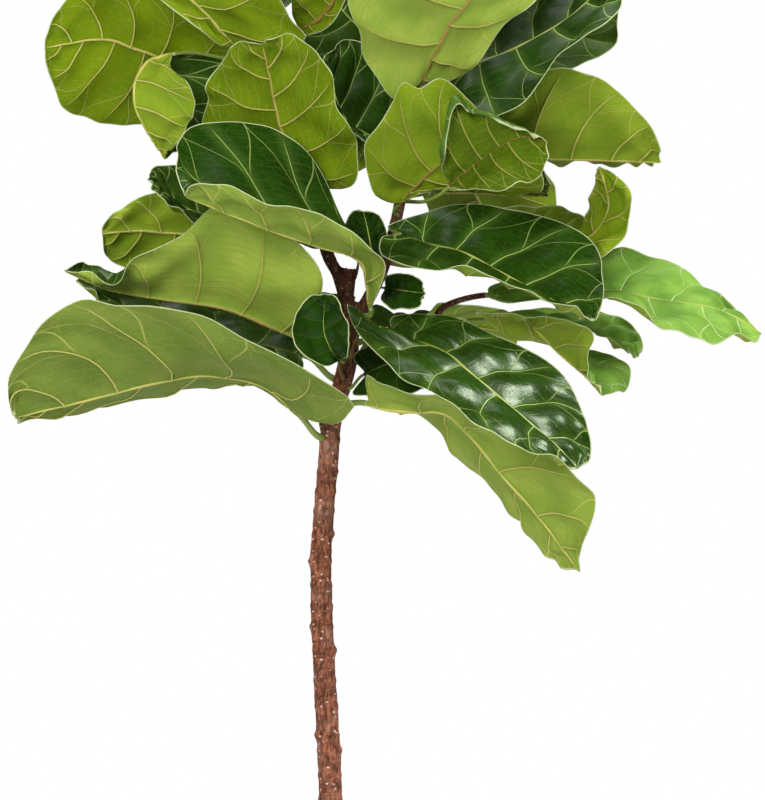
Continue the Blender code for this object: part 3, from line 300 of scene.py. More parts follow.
         [(0.080, 0.070, 1.350), (0.045, 0.070, 1.375), (0.010, 0.060, 1.410), (-0.015, 0.045, 1.455)],
         [(0.045, 0.045, 1.322), (-0.002, 0.035, 1.330), (-0.032, 0.030, 1.368), (-0.040, 0.030, 1.425)],
         [(0.095, 0.095, 1.380), (0.070, 0.090, 1.430), (0.030, 0.070, 1.465)], 0.08),
    Leaf("leaf_top_strip", "left", 1.352,
         [(-0.040, -0.030, 1.372), (-0.014, -0.042, 1.385), (0.007, -0.060, 1.412), (0.035, -0.080, 1.480)],
         [(-0.025, -0.045, 1.366), (0.002, -0.055, 1.378), (0.022, -0.066, 1.412), (0.042, -0.080, 1.450)],
         [(-0.045, -0.035, 1.395), (-0.042, -0.055, 1.425), (-0.010, -0.080, 1.480)], 0.06),
    Leaf("leaf_top_left", "left", 1.345,
         [(-0.110, -0.045, 1.352), (-0.150, -0.070, 1.396), (-0.167, -0.080, 1.412), (-0.205, -0.105, 1.470),
          (-0.245, -0.120, 1.530)],
         [(-0.070, -0.058, 1.348), (-0.026, -0.068, 1.360), (-0.043, -0.080, 1.384), (-0.058, -0.090, 1.412),
          (-0.085, -0.112, 1.470), (-0.150, -0.135, 1.530)],
         [(-0.128, -0.052, 1.352), (-0.172, -0.070, 1.385), (-0.208, -0.085, 1.412), (-0.250, -0.100, 1.460),
          (-0.272, -0.115, 1.510)], 0.06),
    Leaf("leaf_upper_left", "left", 1.305,
         [(-0.150, 0.020, 1.325), (-0.191, 0.000, 1.338), (-0.233, -0.020, 1.352), (-0.272, -0.040, 1.362),
          (-0.338, -0.065, 1.350)],
         [(-0.120, 0.010, 1.355), (-0.149, -0.005, 1.392), (-0.216, -0.030, 1.426), (-0.288, -0.055, 1.425),
          (-0.322, -0.070, 1.396), (-0.336, -0.070, 1.365)],
         [(-0.175, 0.030, 1.295), (-0.223, 0.022, 1.262), (-0.283, 0.005, 1.267), (-0.318, -0.020, 1.278),
          (-0.327, -0.045, 1.303), (-0.337, -0.060, 1.330)], 0.05),
    Leaf("leaf_left_folded", "left", 1.335,
         [(-0.185, -0.032, 1.345), (-0.215, -0.050, 1.335), (-0.230, -0.062, 1.310), (-0.230, -0.068, 1.280),
          (-0.215, -0.062, 1.248), (-0.196, -0.052, 1.218)],
         [(-0.170, -0.022, 1.345), (-0.125, -0.010, 1.340), (-0.112, -0.012, 1.305), (-0.135, -0.018, 1.265),
          (-0.170, -0.030, 1.235)],
         [(-0.188, -0.058, 1.330), (-0.165, -0.074, 1.302), (-0.158, -0.077, 1.272), (-0.170, -0.072, 1.252),
          (-0.186, -0.062, 1.232)], 0.12),
    Leaf("leaf_left_behind", "left", 1.120,
         [(-0.060, 0.090, 1.130), (-0.120, 0.085, 1.134), (-0.180, 0.072, 1.133), (-0.233, 0.050, 1.136),
          (-0.275, 0.030, 1.132)],
         [(-0.080, 0.100, 1.180), (-0.150, 0.092, 1.196), (-0.215, 0.070, 1.185), (-0.257, 0.048, 1.163),
          (-0.274, 0.036, 1.142)],
         [(-0.080, 0.082, 1.085), (-0.150, 0.076, 1.080), (-0.238, 0.052, 1.088),
          (-0.270, 0.038, 1.105)], 0.06),
    Leaf("leaf_left_dark_small", "left", 1.135,
         [(-0.060, 0.010, 1.150), (-0.100, 0.005, 1.150), (-0.139, -0.010, 1.152), (-0.173, -0.028, 1.162),
          (-0.217, -0.042, 1.195)],
         [(-0.090, -0.015, 1.138), (-0.130, -0.040, 1.136), (-0.156, -0.055, 1.140), (-0.198, -0.062, 1.172)],
         [(-0.090, 0.025, 1.190), (-0.130, 0.018, 1.218), (-0.168, 0.002, 1.212),
          (-0.204, -0.018, 1.213)], 0.08),
    Leaf("leaf_centre_small", "right", 1.070,
         [(0.064, -0.030, 1.066), (0.088, -0.055, 1.062), (0.114, -0.078, 1.058)],
         [(0.065, -0.040, 1.080), (0.084, -0.050, 1.083), (0.106, -0.064, 1.077)],
         [(0.060, -0.048, 1.052), (0.078, -0.070, 1.039), (0.104, -0.082, 1.042)], 0.10),
    Leaf("leaf_heart", "right", 1.088,
         [(0.056, -0.006, 1.096), (0.050, -0.012, 1.112), (0.046, -0.016, 1.132), (0.040, -0.018, 1.158)],
         [(0.042, -0.014, 1.100), (0.024, -0.016, 1.116), (0.018, -0.018, 1.140), (0.026, -0.020, 1.158)],
         [(0.066, -0.002, 1.104), (0.069, 0.000, 1.122), (0.066, -0.004, 1.142), (0.056, -0.012, 1.156)], 0.12),
    Leaf("leaf_low_right_inner", "trunk", 0.948,
         [(0.040, -0.012, 0.962), (0.072, -0.026, 0.976), (0.104, -0.044, 0.984), (0.138, -0.062, 0.986)],
         [(0.028, -0.014, 0.984), (0.060, -0.010, 1.006), (0.096, -0.026, 1.012), (0.126, -0.048, 1.004)],
         [(0.026, -0.024, 0.938), (0.054, -0.034, 0.936), (0.086, -0.050, 0.937), (0.120, -0.066, 0.946),
          (0.138, -0.070, 0.964)], 0.12),
    Leaf("leaf_twig_young", "twig", 1.0255,
         [(0.122, -0.010, 1.022), (0.142, -0.030, 1.022), (0.174, -0.050, 1.012)],
         [(0.136, -0.014, 1.030), (0.158, -0.026, 1.030), (0.176, -0.040, 1.020)],
         [(0.124, -0.026, 1.014), (0.140, -0.044, 1.012), (0.162, -0.056, 1.008)], 0.06),
]

# Leaves that follow one rule: those round the back of the crown and above its middle.
# name, wood, foot height, bearing, stalk, length, half width, lift, droop, cup (degrees)
Grown = namedtuple("Grown", "name wood height bearing stalk length half_width lift droop cup")
GROWN_LEAVES = [
    Grown("leaf_back_1", "trunk", 0.975, 62, 0.060, 0.300, 0.095, 26, 38, 16),
    Grown("leaf_back_2", "trunk", 1.005, 120, 0.055, 0.290, 0.095, 16, 30, 18),
    Grown("leaf_back_3", "left", 1.175, 112, 0.050, 0.300, 0.100, 22, 50, 18),
    Grown("leaf_back_4", "right", 1.185, 66, 0.050, 0.300, 0.100, 20, 48, 18),
    Grown("leaf_back_5", "right", 1.275, 100, 0.045, 0.280, 0.095, 34, 52, 18),
    Grown("leaf_back_6", "left", 1.262, 116, 0.045, 0.250, 0.086, 44, 44, 18),
    Grown("leaf_back_7", "left", 1.375, 104, 0.040, 0.260, 0.088, 46, 46, 20),
    Grown("leaf_top_1", "left", 1.420, 196, 0.036, 0.250, 0.082, 52, 40, 22),
    Grown("leaf_top_2", "left", 1.455, 285, 0.034, 0.235, 0.078, 58, 36, 24),
    Grown("leaf_top_3", "left", 1.485, 92, 0.030, 0.215, 0.070, 64, 32, 26),
    Grown("leaf_top_4", "left", 1.510, 232, 0.026, 0.180, 0.056, 72, 26, 30),
    Grown("leaf_top_5", "right", 1.430, 128, 0.036, 0.250, 0.082, 52, 38, 22),
    Grown("leaf_top_6", "right", 1.465, 20, 0.034, 0.240, 0.078, 58, 36, 24),
    Grown("leaf_top_7", "right", 1.500, 310, 0.030, 0.215, 0.070, 64, 32, 26),
    Grown("leaf_top_8", "right", 1.535, 142, 0.026, 0.185, 0.058, 72, 26, 30),
]
# Half width of a fiddle shaped blade against the distance from its foot: lobe, waist, broad end, tip.
FIDDLE_OUTLINE = ((0.00, 0.00), (0.03, 0.38), (0.12, 0.62), (0.32, 0.60), (0.55, 0.88), (0.72, 1.00),
                  (0.88, 0.80), (0.97, 0.38), (1.00, 0.00))

# How a leaf looks: upper face, 0 dark to 1 pale; underside, -1 painted shade through 0 deep to 1 bright, the
# bright end being a young leaf's paler colour together with a painted glow of light shining through the blade;
# midrib,
# 0 cream to 1 brown; how grey its wax makes the underside; ripple of its margin, in metres; how far its side
# veins sweep forward; the share of its left (plus) or right (minus) half that is rolled back at the margin; how
# strong its veins are; and how glossy its upper face is.
Look = namedtuple("Look", "upper under rib wax ripple sweep roll veins gloss",
                  defaults=(0.10, 0.20, 0.15, 0.20, 0.0030, 0.14, 0.0, 1.0, 0.5))
LOOKS = {
    "leaf_low_left": Look(0.05, -0.50, 0.10, 0.75, 0.0030, 0.26),
    "leaf_mid_left": Look(0.05, 0.55, 0.30, 1.90),
    "leaf_arch_left": Look(0.00, 0.35, 0.05, 1.00, 0.0025, 0.14, 0.0, 0.9),
    "leaf_front_cup": Look(0.00, 0.10, 0.05, 0.50, 0.0010, 0.12, 0.0, 0.05, 0.2),
    "leaf_low_right": Look(0.03, 0.30, 0.00, 0.70, 0.0025, 0.16, 0.0, 1.0, 1.0),
    "leaf_low_right_hanging": Look(0.05, 0.40, 0.00, 1.10, 0.0030, 0.16),
    "leaf_mid_right": Look(0.00, 0.30, 0.00, 0.80, 0.0025, 0.16, 0.0, 1.0, 0.6),
    "leaf_right_behind": Look(0.05, 0.40, 0.10, 0.30),
    "leaf_far_right": Look(0.92, 0.60, 0.00, 0.40, 0.0055, 0.12),
    "leaf_right_small": Look(1.00, 0.50, 0.00, 0.40, 0.0025),
    "leaf_right_hanging": Look(0.75, 0.50, 0.00, 0.40),
    "leaf_right_upright": Look(0.30, 0.50, 0.10, 0.00),
    "leaf_upper_right": Look(0.05, 0.25, 0.20, 0.30),
    "leaf_top_right": Look(0.00, 0.30, 0.00, 0.20, 0.0015, 0.12, 0.0, 1.0, 0.3),
    "leaf_top_right_behind": Look(0.30, 0.30, 0.10, 0.20, 0.0020),
    "leaf_top_centre": Look(0.05, 0.45, 0.70, 1.00, 0.0035),
    "leaf_centre_upright": Look(0.05, 0.25, 0.80, 0.10),
    "leaf_centre_cup": Look(0.25, -1.00, 0.90, 0.00, 0.0030, 0.14, -0.24, 0.6),
    "leaf_mid_right_shade": Look(0.05, -0.50, 0.10, 0.00, 0.0020),
    "leaf_upper_left_front": Look(0.05, -0.30, 0.50, 0.00, 0.0055),
    "leaf_centre_behind": Look(0.05, -0.10, 0.30, 0.00, 0.0020),
    "leaf_heart": Look(0.00, -0.50, 0.10, 0.00, 0.0010, 0.14, 0.0, 0.10, 0.3),
    "leaf_low_right_inner": Look(0.00, -0.80, 0.10, 0.00, 0.0015, 0.14, 0.0, 0.12, 0.2),
    "leaf_centre_small": Look(0.00, -0.60, 0.10, 0.00, 0.0010, 0.14, 0.0, 0.02, 0.1),
    "leaf_centre_dark": Look(0.00, 0.20, 0.10, 0.20, 0.0020, 0.14, 0.0, 0.7, 0.2),
    "leaf_top_strip": Look(0.05, 0.10, 0.80, 0.00, 0.0015),
    "leaf_top_left": Look(0.05, 0.20, 0.00, 0.00, 0.0020),
    "leaf_upper_left": Look(0.05, 0.00, 0.15, 0.00, 0.0025),
    "leaf_left_folded": Look(0.05, 0.40, 0.00, 0.20, 0.0025),
    "leaf_left_behind": Look(0.05, 0.35, 0.10, 0.20, 0.0025),
    "leaf_twig_young": Look(0.90, 0.90, 0.00, 0.20, 0.0010),
}

# Side veins: where they leave the midrib, as fractions of it, on the left and on the right.
SIDE_VEINS = ((0.03, 0.13, 0.30, 0.48, 0.66, 0.84), (0.05, 0.21, 0.39, 0.58, 0.77, 0.90))

# Blades: steps of the lines they are worked out from, rows and columns of points, the half width below which
# a half blade is too narrow to tell its slope, how far a leaf stays inside the plant's box, the usual length
# of a leaf, the turn in radians from one leaf's waves to the next one's, and the shift from one leaf's net
# of veins to the next one's.
LINE_STEPS = 320
FILL_ROWS = 74
FILL_COLUMNS = 12
NARROW = 0.006
BOX_INSET = 0.0002
USUAL_LENGTH = 0.28
LEAF_TURN = 2.399
LEAF_SHIFT = 0.37

# Stalks: rows of points, how deep the foot sits in the bark, how far it runs straight at both ends as a
# share of its length, where on the midrib the blade's slope is read, and the length of the blend into it.
STALK_ROWS = 10
STALK_SINK = 0.003
STALK_BEND = 0.35
BLADE_START = 0.05
BLADE_BLEND = 0.012

# Midrib and side veins as ridges on the underside: places of the columns over the midrib in midrib widths,
# its width at the tip and how much it grows towards the foot, its spread and depth in midrib widths, the
# width and depth of a side vein, and how much of that shows on the upper face.
RIB_SHARES = (0.35, 0.70, 1.05, 1.60)
RIB_TIP = 0.0006
RIB_SWELL = 0.0022
RIB_SPREAD = 1.4
RIB_DEPTH = 1.15
SIDE_RIDGE_WIDTH = 0.0011
SIDE_RIDGE_DEPTH = 0.0007
SUNKEN = 0.35

# Veins as colour: widths in metres, their taper, the net's bend, and the gap between the cross veins, their
# shift from one field to the next, and their bend.
SIDE_VEIN_WIDTH = 0.00130
SIDE_VEIN_TAPER = 0.00065
SIDE_VEIN_SHARE = 0.042
RIB_WIDTH = 0.0031
RIB_TAPER = 0.0022
NET_BEND = 0.006
RUNG_GAP = 0.0085
RUNG_SHIFT = 0.37
RUNG_BEND = 1.8

# Unevenness of a blade: its ruffled margin, its lumps, waves in its outline (height, pace and start) and
# how far they reach, and the turn of a margin that is rolled back.
RUFFLE = 1.35
SWELL = 0.0034
MARGIN_WOBBLE = 0.013
MARGIN_PEAK = 1.2
MARGIN_WAVES = ((1.0, 2.3, 0.0), (0.8, 4.7, 2.0), (0.35, 9.1, 4.0))
ROLL_TURN = math.radians(200)

# Leaves whose stalk has turned woody and brown.
WOODY_STALKS = ("leaf_far_right",)

# Dry remains in the crown, from their foot to their tip: finish, radii at both, and points.
REMAINS = {
    "sheath_low": ("bud_sheath", 0.0065, 0.0012,
                   ((0.024, -0.010, 0.984), (0.029, -0.019, 0.998), (0.034, -0.021, 1.013))),
    "sheath_front": ("bud_sheath", 0.0050, 0.0010,
                     ((0.016, -0.010, 0.958), (0.012, -0.018, 0.970), (0.009, -0.019, 0.986))),
    "stalk_rest_right": ("bark_weathered", 0.0040, 0.0022,
                         ((0.030, -0.002, 1.026), (0.041, -0.010, 1.042), (0.039, -0.012, 1.056))),
    "stalk_rest_left": ("bark_weathered", 0.0034, 0.0016,
                        ((0.014, 0.000, 1.036), (0.005, -0.006, 1.046), (0.004, -0.008, 1.058))),
    "stub_prong": ("bark_weathered", 0.0042, 0.0014,
                   ((0.029, 0.004, 1.078), (0.033, 0.002, 1.090), (0.033, 0.000, 1.099))),
}
# How flat a rest is, and the depth and pace of its crumple.
REST_FLATNESS = 0.55
CRUMPLE = 0.0006
CRUMPLE_PACE = 420

# The scales at leaf feet: above which height they sit, how deep in the bark, how long they are, how far the
# tip and the middle stand out, and the radii at both ends.
SCALE_HEIGHT = 1.30
SCALE_SINK = 0.004
SCALE_LENGTH = 0.024
SCALE_LEAN = 0.008
SCALE_BULGE = 0.003
SCALE_RADII = (0.0052, 0.0008)

# Bark: how far its grains stand out, and their pace across and along the trunk; how much thinner young wood
# is; and the torn stub of the trunk above the fork.
BARK_GRAINS = ((0.0006, 110, 22), (0.0004, 300, 120), (0.0005, 20, 45))
YOUNG_SHRINK = 0.0024
STUB_HEIGHT = 1.080
STUB_MIDDLE = (0.024, 0.004)
STUB_REACH = (0.014, 0.012)
STUB_SPLINTERS = 0.0045
STUB_SHRINK = 0.0015

# Soil: height, pace and layer of its lumps.
SOIL_LUMPS = ((0.0030, 30, 3), (0.0022, 95, 7), (0.0010, 260, 11))

# Studio: where each light stands, what it faces, and its width and height; and what the camera faces.
LIGHTS = {
    "key": ((-1.4, -3.2, 2.4), (0.05, 0.0, 1.1), 1.8, 1.8),
    "fill": ((2.9, -1.6, 2.4), (0.05, 0.0, 1.1), 1.2, 1.6),
    "top": ((-0.4, 0.2, 3.4), (0.05, 0.0, 1.1), 1.6, 1.6),
    "sheen": ((0.95, -2.20, 3.2), (0.20, -0.1, 1.0), 1.9, 1.3),
}
SHEEN_COLOUR = (0.90, 1.00, 0.82)
SHINING_GLOSS = 0.7
CROWN_MIDDLE = (0.063, 0.932)
BACKDROP_RADIUS = 40.0

# Leaf scars on the trunk: height, bearing in degrees, and how far they stand out, in metres.
SCARS = [
    (0.904, 180, 0.0030), (0.884, 300, 0.0018), (0.846, 40, 0.0016), (0.822, 220, 0.0014),
    (0.799, 275, 0.0018), (0.771, 355, 0.0030), (0.738, 185, 0.0030), (0.710, 260, 0.0020),
    (0.684, 310, 0.0020), (0.660, 175, 0.0028), (0.632, 0, 0.0034), (0.596, 265, 0.0020),
    (0.564, 60, 0.0018), (0.530, 190, 0.0030), (0.512, 350, 0.0030), (0.482, 270, 0.0020),
    (0.452, 130, 0.0022), (0.424, 20, 0.0026), (0.395, 235, 0.0022), (0.362, 170, 0.0028),
    (0.330, 320, 0.0024), (0.300, 80, 0.0024), (0.272, 200, 0.0020),
]
# The scars end at this height; a scar's half height in metres, its half turn in degrees, and the ring round
# the trunk at its height, with the groove above it.
SCARRED_HEIGHT = 0.93
SCAR_HALF_HEIGHT = 0.0065
SCAR_HALF_TURN = 38
SCAR_RING = 0.0007
SCAR_GROOVE = 0.0004


def unit(vectors):
    """The vectors scaled to length one."""
    return vectors / np.maximum(np.linalg.norm(vectors, axis=-1, keepdims=True), 1e-12)


def smooth_curve(points, fractions, dense=24):
    """Points at fractions of the length of a Catmull-Rom curve through the given points."""
    points = np.array(points, float)
    padded = np.vstack([2 * points[0] - points[1], points, 2 * points[-1] - points[-2]])
    steps = np.linspace(0.0, 1.0, dense, endpoint=False)[:, None]
    spans = []
    for before, start, end, after in zip(padded, padded[1:], padded[2:], padded[3:]):
        spans.append(0.5 * (2 * start + (end - before) * steps
                            + (2 * before - 5 * start + 4 * end - after) * steps**2
                            + (3 * start - before - 3 * end + after) * steps**3))
    curve = np.vstack(spans + [points[-1:]])
    travelled = np.concatenate([[0.0], np.cumsum(np.linalg.norm(np.diff(curve, axis=0), axis=1))])
    wanted = np.array(fractions) * travelled[-1]
    return np.stack([np.interp(wanted, travelled, curve[:, axis]) for axis in range(3)], axis=1)


def sample(line, fractions):
    """Points of an evenly spaced line at fractions of it, for any shape of fractions."""
    steps = np.linspace(0.0, 1.0, len(line))
    return np.stack([np.interp(fractions, steps, line[:, axis]) for axis in range(3)], axis=-1)


def ease(values, low, high):
    """A smooth step from 0 at low to 1 at high."""
    share = np.clip((np.asarray(values, float) - low) / (high - low), 0.0, 1.0)
    return share * share * (3 - 2 * share)


def wood_at(wood, height, steps=400):
    """Centre, direction and radius of a piece of wood where it reaches a height."""
    fractions = np.linspace(0.0, 1.0, steps)
    line = smooth_curve(WOOD_POINTS[wood], fractions)
    index = int(np.argmin(np.abs(line[:, 2] - height)))
    along = unit(line[min(index + 1, steps - 1)] - line[max(index - 1, 0)])
    start_radius, end_radius = WOOD_RADII[wood]
    return line[index], along, start_radius + (end_radius - start_radius) * fractions[index]


def grown_leaf(grown):
    """A leaf from the rule: an arching midrib with fiddle shaped margins raised into a cup."""
    centre, _, _ = wood_at(grown.wood, grown.height)
    bearing = math.radians(grown.bearing)
    outward = np.array([math.cos(bearing), math.sin(bearing), 0.0])
    side = np.array([-outward[1], outward[0], 0.0])
    up = np.array([0.0, 0.0, 1.0])
    point = centre + grown.stalk * (outward + 0.5 * up)
    rib, left, right = [point], [], []
    cup = math.radians(grown.cup)
    lobes = FIDDLE_OUTLINE[1:-1]
    for (last, _), (place, width) in zip(FIDDLE_OUTLINE, lobes):
        rise = math.radians(grown.lift - grown.droop * 2 * place**1.5)
        ahead = math.cos(rise) * outward + math.sin(rise) * up
        over = -math.sin(rise) * outward + math.cos(rise) * up
        point = point + (place - last) * grown.length * ahead
        reach = width * grown.half_width
        lifted = reach * math.sin(cup) * over
        left.append(point + reach * math.cos(cup) * side + lifted)
        right.append(point - reach * math.cos(cup) * side + lifted)
        rib.append(point)
    rib.append(point + (1.0 - lobes[-1][0]) * grown.length * ahead)
    return Leaf(grown.name, grown.wood, grown.height, rib[:1] + rib[3:], left, right, BLADE_CURL)


def all_leaves():
    """The leaves given one by one, then those that follow the rule."""
    return LEAVES + [grown_leaf(grown) for grown in GROWN_LEAVES]


def foot_at(leaf, sink):
    """Where a stalk leaves its wood: the wood's direction, the way out, and the place, sunk into the bark."""
    centre, along, radius = wood_at(leaf.wood, leaf.height)
    out = np.array(leaf.rib[0], float) - centre
    out = unit(out - along * np.dot(out, along))
    return along, out, centre + out * (radius - sink)


# ---------------------------------------------------------------- materials

def add(tree, kind, sockets=None, **settings):
    """A new node with its settings, and each named socket linked or set."""
    made = tree.nodes.new(kind)
    for name, value in settings.items():
        setattr(made, name, value)
    for key, value in (sockets or {}).items():
        if isinstance(value, bpy.types.NodeSocket):
            tree.links.new(value, made.inputs[key])
        else:
            made.inputs[key].default_value = value
    return made


def calc(tree, operation, *values):
    """A Math node's result."""
    return add(tree, "ShaderNodeMath", dict(enumerate(values)), operation=operation).outputs[0]


def times(tree, first, second):
    """The product of two values."""
    return calc(tree, "MULTIPLY", first, second)


def plus_times(tree, first, second, start):
    """The product of two values, added to a start."""
    return calc(tree, "MULTIPLY_ADD", first, second, start)


def parts(tree, vector):
    """The three numbers of a vector."""
    return add(tree, "ShaderNodeSeparateXYZ", {0: vector}).outputs


def stored(tree, name):
    """A vector that the mesh stores at its points."""
    return add(tree, "ShaderNodeAttribute", attribute_name=name).outputs["Vector"]


def own_place(tree):
    """Where a point is on the plant."""
    return add(tree, "ShaderNodeTexCoord").outputs["Object"]


def stretched(tree, vector, scale):
    """A pattern's coordinates, scaled along each axis: less than 1 draws the pattern out."""
    return add(tree, "ShaderNodeMapping", {"Vector": vector, "Scale": scale}).outputs[0]


def moved(tree, operation, first, second):
    """Two vectors added or multiplied."""
    return add(tree, "ShaderNodeVectorMath", {0: first, 1: second}, operation=operation).outputs[0]


def step(tree, value, low, high, start=0.0, end=1.0):
    """A smooth step of a value: start at low, end at high."""
    return add(tree, "ShaderNodeMapRange", {"Value": value, "From Min": low, "From Max": high,
                                            "To Min": start, "To Max": end},
               interpolation_type="SMOOTHSTEP").outputs["Result"]


def fade(tree, value, low, high):
    """A smooth step of a value from 1 at low to 0 at high."""
    return step(tree, value, low, high, 1.0, 0.0)


def tint(tree, factor, first, second, blend="MIX"):
    """Two colours mixed by a factor."""
    sockets = {0: factor, 6: first, 7: second}
    for key in (6, 7):
        if not isinstance(sockets[key], bpy.types.NodeSocket):
            sockets[key] = (*sockets[key][:3], 1.0)
    return add(tree, "ShaderNodeMix", sockets, data_type="RGBA", blend_type=blend).outputs[2]


def shaded(tree, first, shade):
    """A colour multiplied by a shade."""
    return tint(tree, 1.0, first, shade, "MULTIPLY")


def painted(tree, first, *layers):
    """A colour under layers, each given by its mask, its strength and its colour."""
    for mask, strength, over in layers:
        first = tint(tree, times(tree, mask, strength), first, over)
    return first


def grain(tree, vector, scale, detail=2.0, roughness=0.5):
    """Noise over a pattern's coordinates."""
    return add(tree, "ShaderNodeTexNoise", {"Vector": vector, "Scale": scale, "Detail": detail,
                                            "Roughness": roughness}).outputs["Fac"]


def walls(tree, vector, scale, dimensions):
    """The distance to the nearest wall in a pattern of cells."""
    return add(tree, "ShaderNodeTexVoronoi", {"Vector": vector, "Scale": scale}, feature="DISTANCE_TO_EDGE",
               voronoi_dimensions=dimensions).outputs["Distance"]


def dots(tree, vector, scale, radii, lots):
    """Soft round dots, between two radii, in the cells of a pattern that draw a high lot."""
    cells = add(tree, "ShaderNodeTexVoronoi", {"Vector": vector, "Scale": scale}, feature="F1")
    lot = add(tree, "ShaderNodeSeparateColor", {0: cells.outputs["Color"]}).outputs[0]
    return times(tree, fade(tree, cells.outputs["Distance"], *radii), step(tree, lot, *lots))


def relief(tree, heights):
    """A height made of weighted masks."""
    total = None
    for mask, weight in heights:
        term = times(tree, mask, weight)
        total = term if total is None else calc(tree, "ADD", total, term)
    return total


def finished(name, finish):
    """A new material, with the colour, roughness, gloss and relief that a finish works out from its nodes."""
    made = bpy.data.materials.new(name)
    made.use_nodes = True
    tree = made.node_tree
    shader = tree.nodes["Principled BSDF"]
    look = finish(tree)
    tree.links.new(look["colour"], shader.inputs["Base Color"])
    if isinstance(look["roughness"], bpy.types.NodeSocket):
        tree.links.new(look["roughness"], shader.inputs["Roughness"])
    else:
        shader.inputs["Roughness"].default_value = look["roughness"]
    shader.inputs["Specular IOR Level"].default_value = look["specular"]
    bump = add(tree, "ShaderNodeBump", {"Strength": 1.0, "Distance": look["depth"], "Height": look["height"]})
    tree.links.new(bump.outputs["Normal"], shader.inputs["Normal"])
    if "alpha" in look:
        tree.links.new(look["alpha"], shader.inputs["Alpha"])
    return made


def vein_masks(tree, rib_size, vein_size):
    """The vein pattern of a blade, from what each leaf's mesh stores about its veins."""
    count, across, along = parts(tree, stored(tree, "vein_place"))
    spacing, margin, tone = parts(tree, stored(tree, "vein_size"))
    wax, veins, gloss = parts(tree, stored(tree, "leaf_look"))
    plane = stored(tree, "blade_plane")
    signed, _, brown = parts(tree, plane)

    def within(mask, part):
        """A mask in one part of the blade, as strong as the leaf's veins."""
        return times(tree, mask, times(tree, part, veins))

    centred = calc(tree, "PINGPONG", count, 0.5)
    away = times(tree, centred, spacing)
    side_width = calc(tree, "MINIMUM",
                      plus_times(tree, across, -SIDE_VEIN_TAPER * vein_size, SIDE_VEIN_WIDTH * vein_size),
                      times(tree, spacing, SIDE_VEIN_SHARE))
    side = fade(tree, calc(tree, "DIVIDE", away, side_width), 0.45, 1.15)
    bend = times(tree, step(tree, across, 0.45, 1.0), 0.5)
    loop = times(tree, calc(tree, "ABSOLUTE", calc(tree, "SUBTRACT", centred, bend)), spacing)
    rib_width = times(tree, plus_times(tree, along, -RIB_TAPER * rib_size, RIB_WIDTH * rib_size),
                      plus_times(tree, veins, 0.6, 0.4))
    shift = add(tree, "ShaderNodeTexNoise", {"Vector": plane, "Scale": 60.0}).outputs["Color"]
    bent = moved(tree, "ADD", plane, moved(tree, "MULTIPLY", shift, (NET_BEND, NET_BEND, 0.0)))
    flat = moved(tree, "MULTIPLY", bent, (1.0, 1.0, 0.0))
    rung = plus_times(tree, calc(tree, "FLOOR", count), RUNG_SHIFT, calc(tree, "DIVIDE", signed, RUNG_GAP))
    rung = plus_times(tree, grain(tree, plane, 38.0), RUNG_BEND, rung)
    return {
        "side": within(side, fade(tree, across, 0.86, 0.97)),
        "loop": within(fade(tree, loop, 0.0003, 0.0009), step(tree, across, 0.50, 0.66)),
        "rib": fade(tree, calc(tree, "DIVIDE", calc(tree, "ABSOLUTE", signed), rib_width), 0.70, 1.15),
        "net": times(tree, fade(tree, walls(tree, flat, 95.0, "2D"), 0.015, 0.060), veins),
        "mesh": fade(tree, walls(tree, flat, 340.0, "2D"), 0.02, 0.16),
        "rung": within(fade(tree, calc(tree, "PINGPONG", rung, 0.5), 0.025, 0.070),
                       step(tree, across, 0.04, 0.15)),
        # Painted shade beside the raised side veins, together with their brown tinge: a darker band along each
        # vein.
        "vein_shade_and_tinge": within(fade(tree, away, 0.0008, 0.0055), step(tree, across, 0.95, 0.60)),
        "rim": fade(tree, margin, 0.0006, 0.0013),
        "tone": tone, "brown": brown, "plane": flat, "along": along, "centred": centred, "wax": wax,
        "veins": veins, "gloss": gloss,
    }


def vein_relief(tree, masks, weights):
    """The height of a face's veins, as a weighted sum of their masks."""
    return relief(tree, [(masks[name], weight) for name, weight in weights.items()])


def upper_finish(tree, fig):
    """The upper face: dark glossy green, with pale sunken veins."""
    masks = vein_masks(tree, 0.60, 0.85)
    cloud = grain(tree, masks["plane"], 28.0, 3.0)
    green = tint(tree, masks["tone"], fig.upper_dark, fig.upper_pale)
    shade = tint(tree, step(tree, cloud, 0.30, 0.70), green, shaded(tree, green, (0.50, 0.60, 0.50)))
    band = times(tree, fade(tree, masks["centred"], 0.0, 0.20), masks["veins"])
    vein = tint(tree, masks["tone"], fig.upper_vein, fig.young_vein)
    colour = painted(tree, shade,
                     (band, 0.22, tint(tree, 0.5, green, fig.upper_pale)),
                     (masks["mesh"], 0.03, vein), (masks["rung"], 0.045, vein), (masks["net"], 0.04, vein),
                     (masks["loop"], 0.55, vein), (masks["side"], 0.95, vein))
    rib = tint(tree, step(tree, masks["along"], 0.05, 0.50), fig.upper_rib_foot, fig.upper_rib)
    colour = painted(tree, tint(tree, masks["rib"], colour, rib), (masks["rim"], 0.9, fig.margin))
    rough = plus_times(tree, grain(tree, masks["plane"], 90.0, 3.0), 0.10, fig.upper_roughness - 0.05)
    rough = plus_times(tree, masks["tone"], 0.24, rough)
    rough = plus_times(tree, calc(tree, "SUBTRACT", 1.0, masks["gloss"]), 0.28, rough)
    height = vein_relief(tree, masks, {"side": -0.8, "loop": -0.35, "net": -0.05, "mesh": -0.03, "rung": -0.07,
                                       "rib": 0.3})
    return {"colour": colour, "roughness": rough, "height": height, "depth": 0.0012, "specular": 0.20}


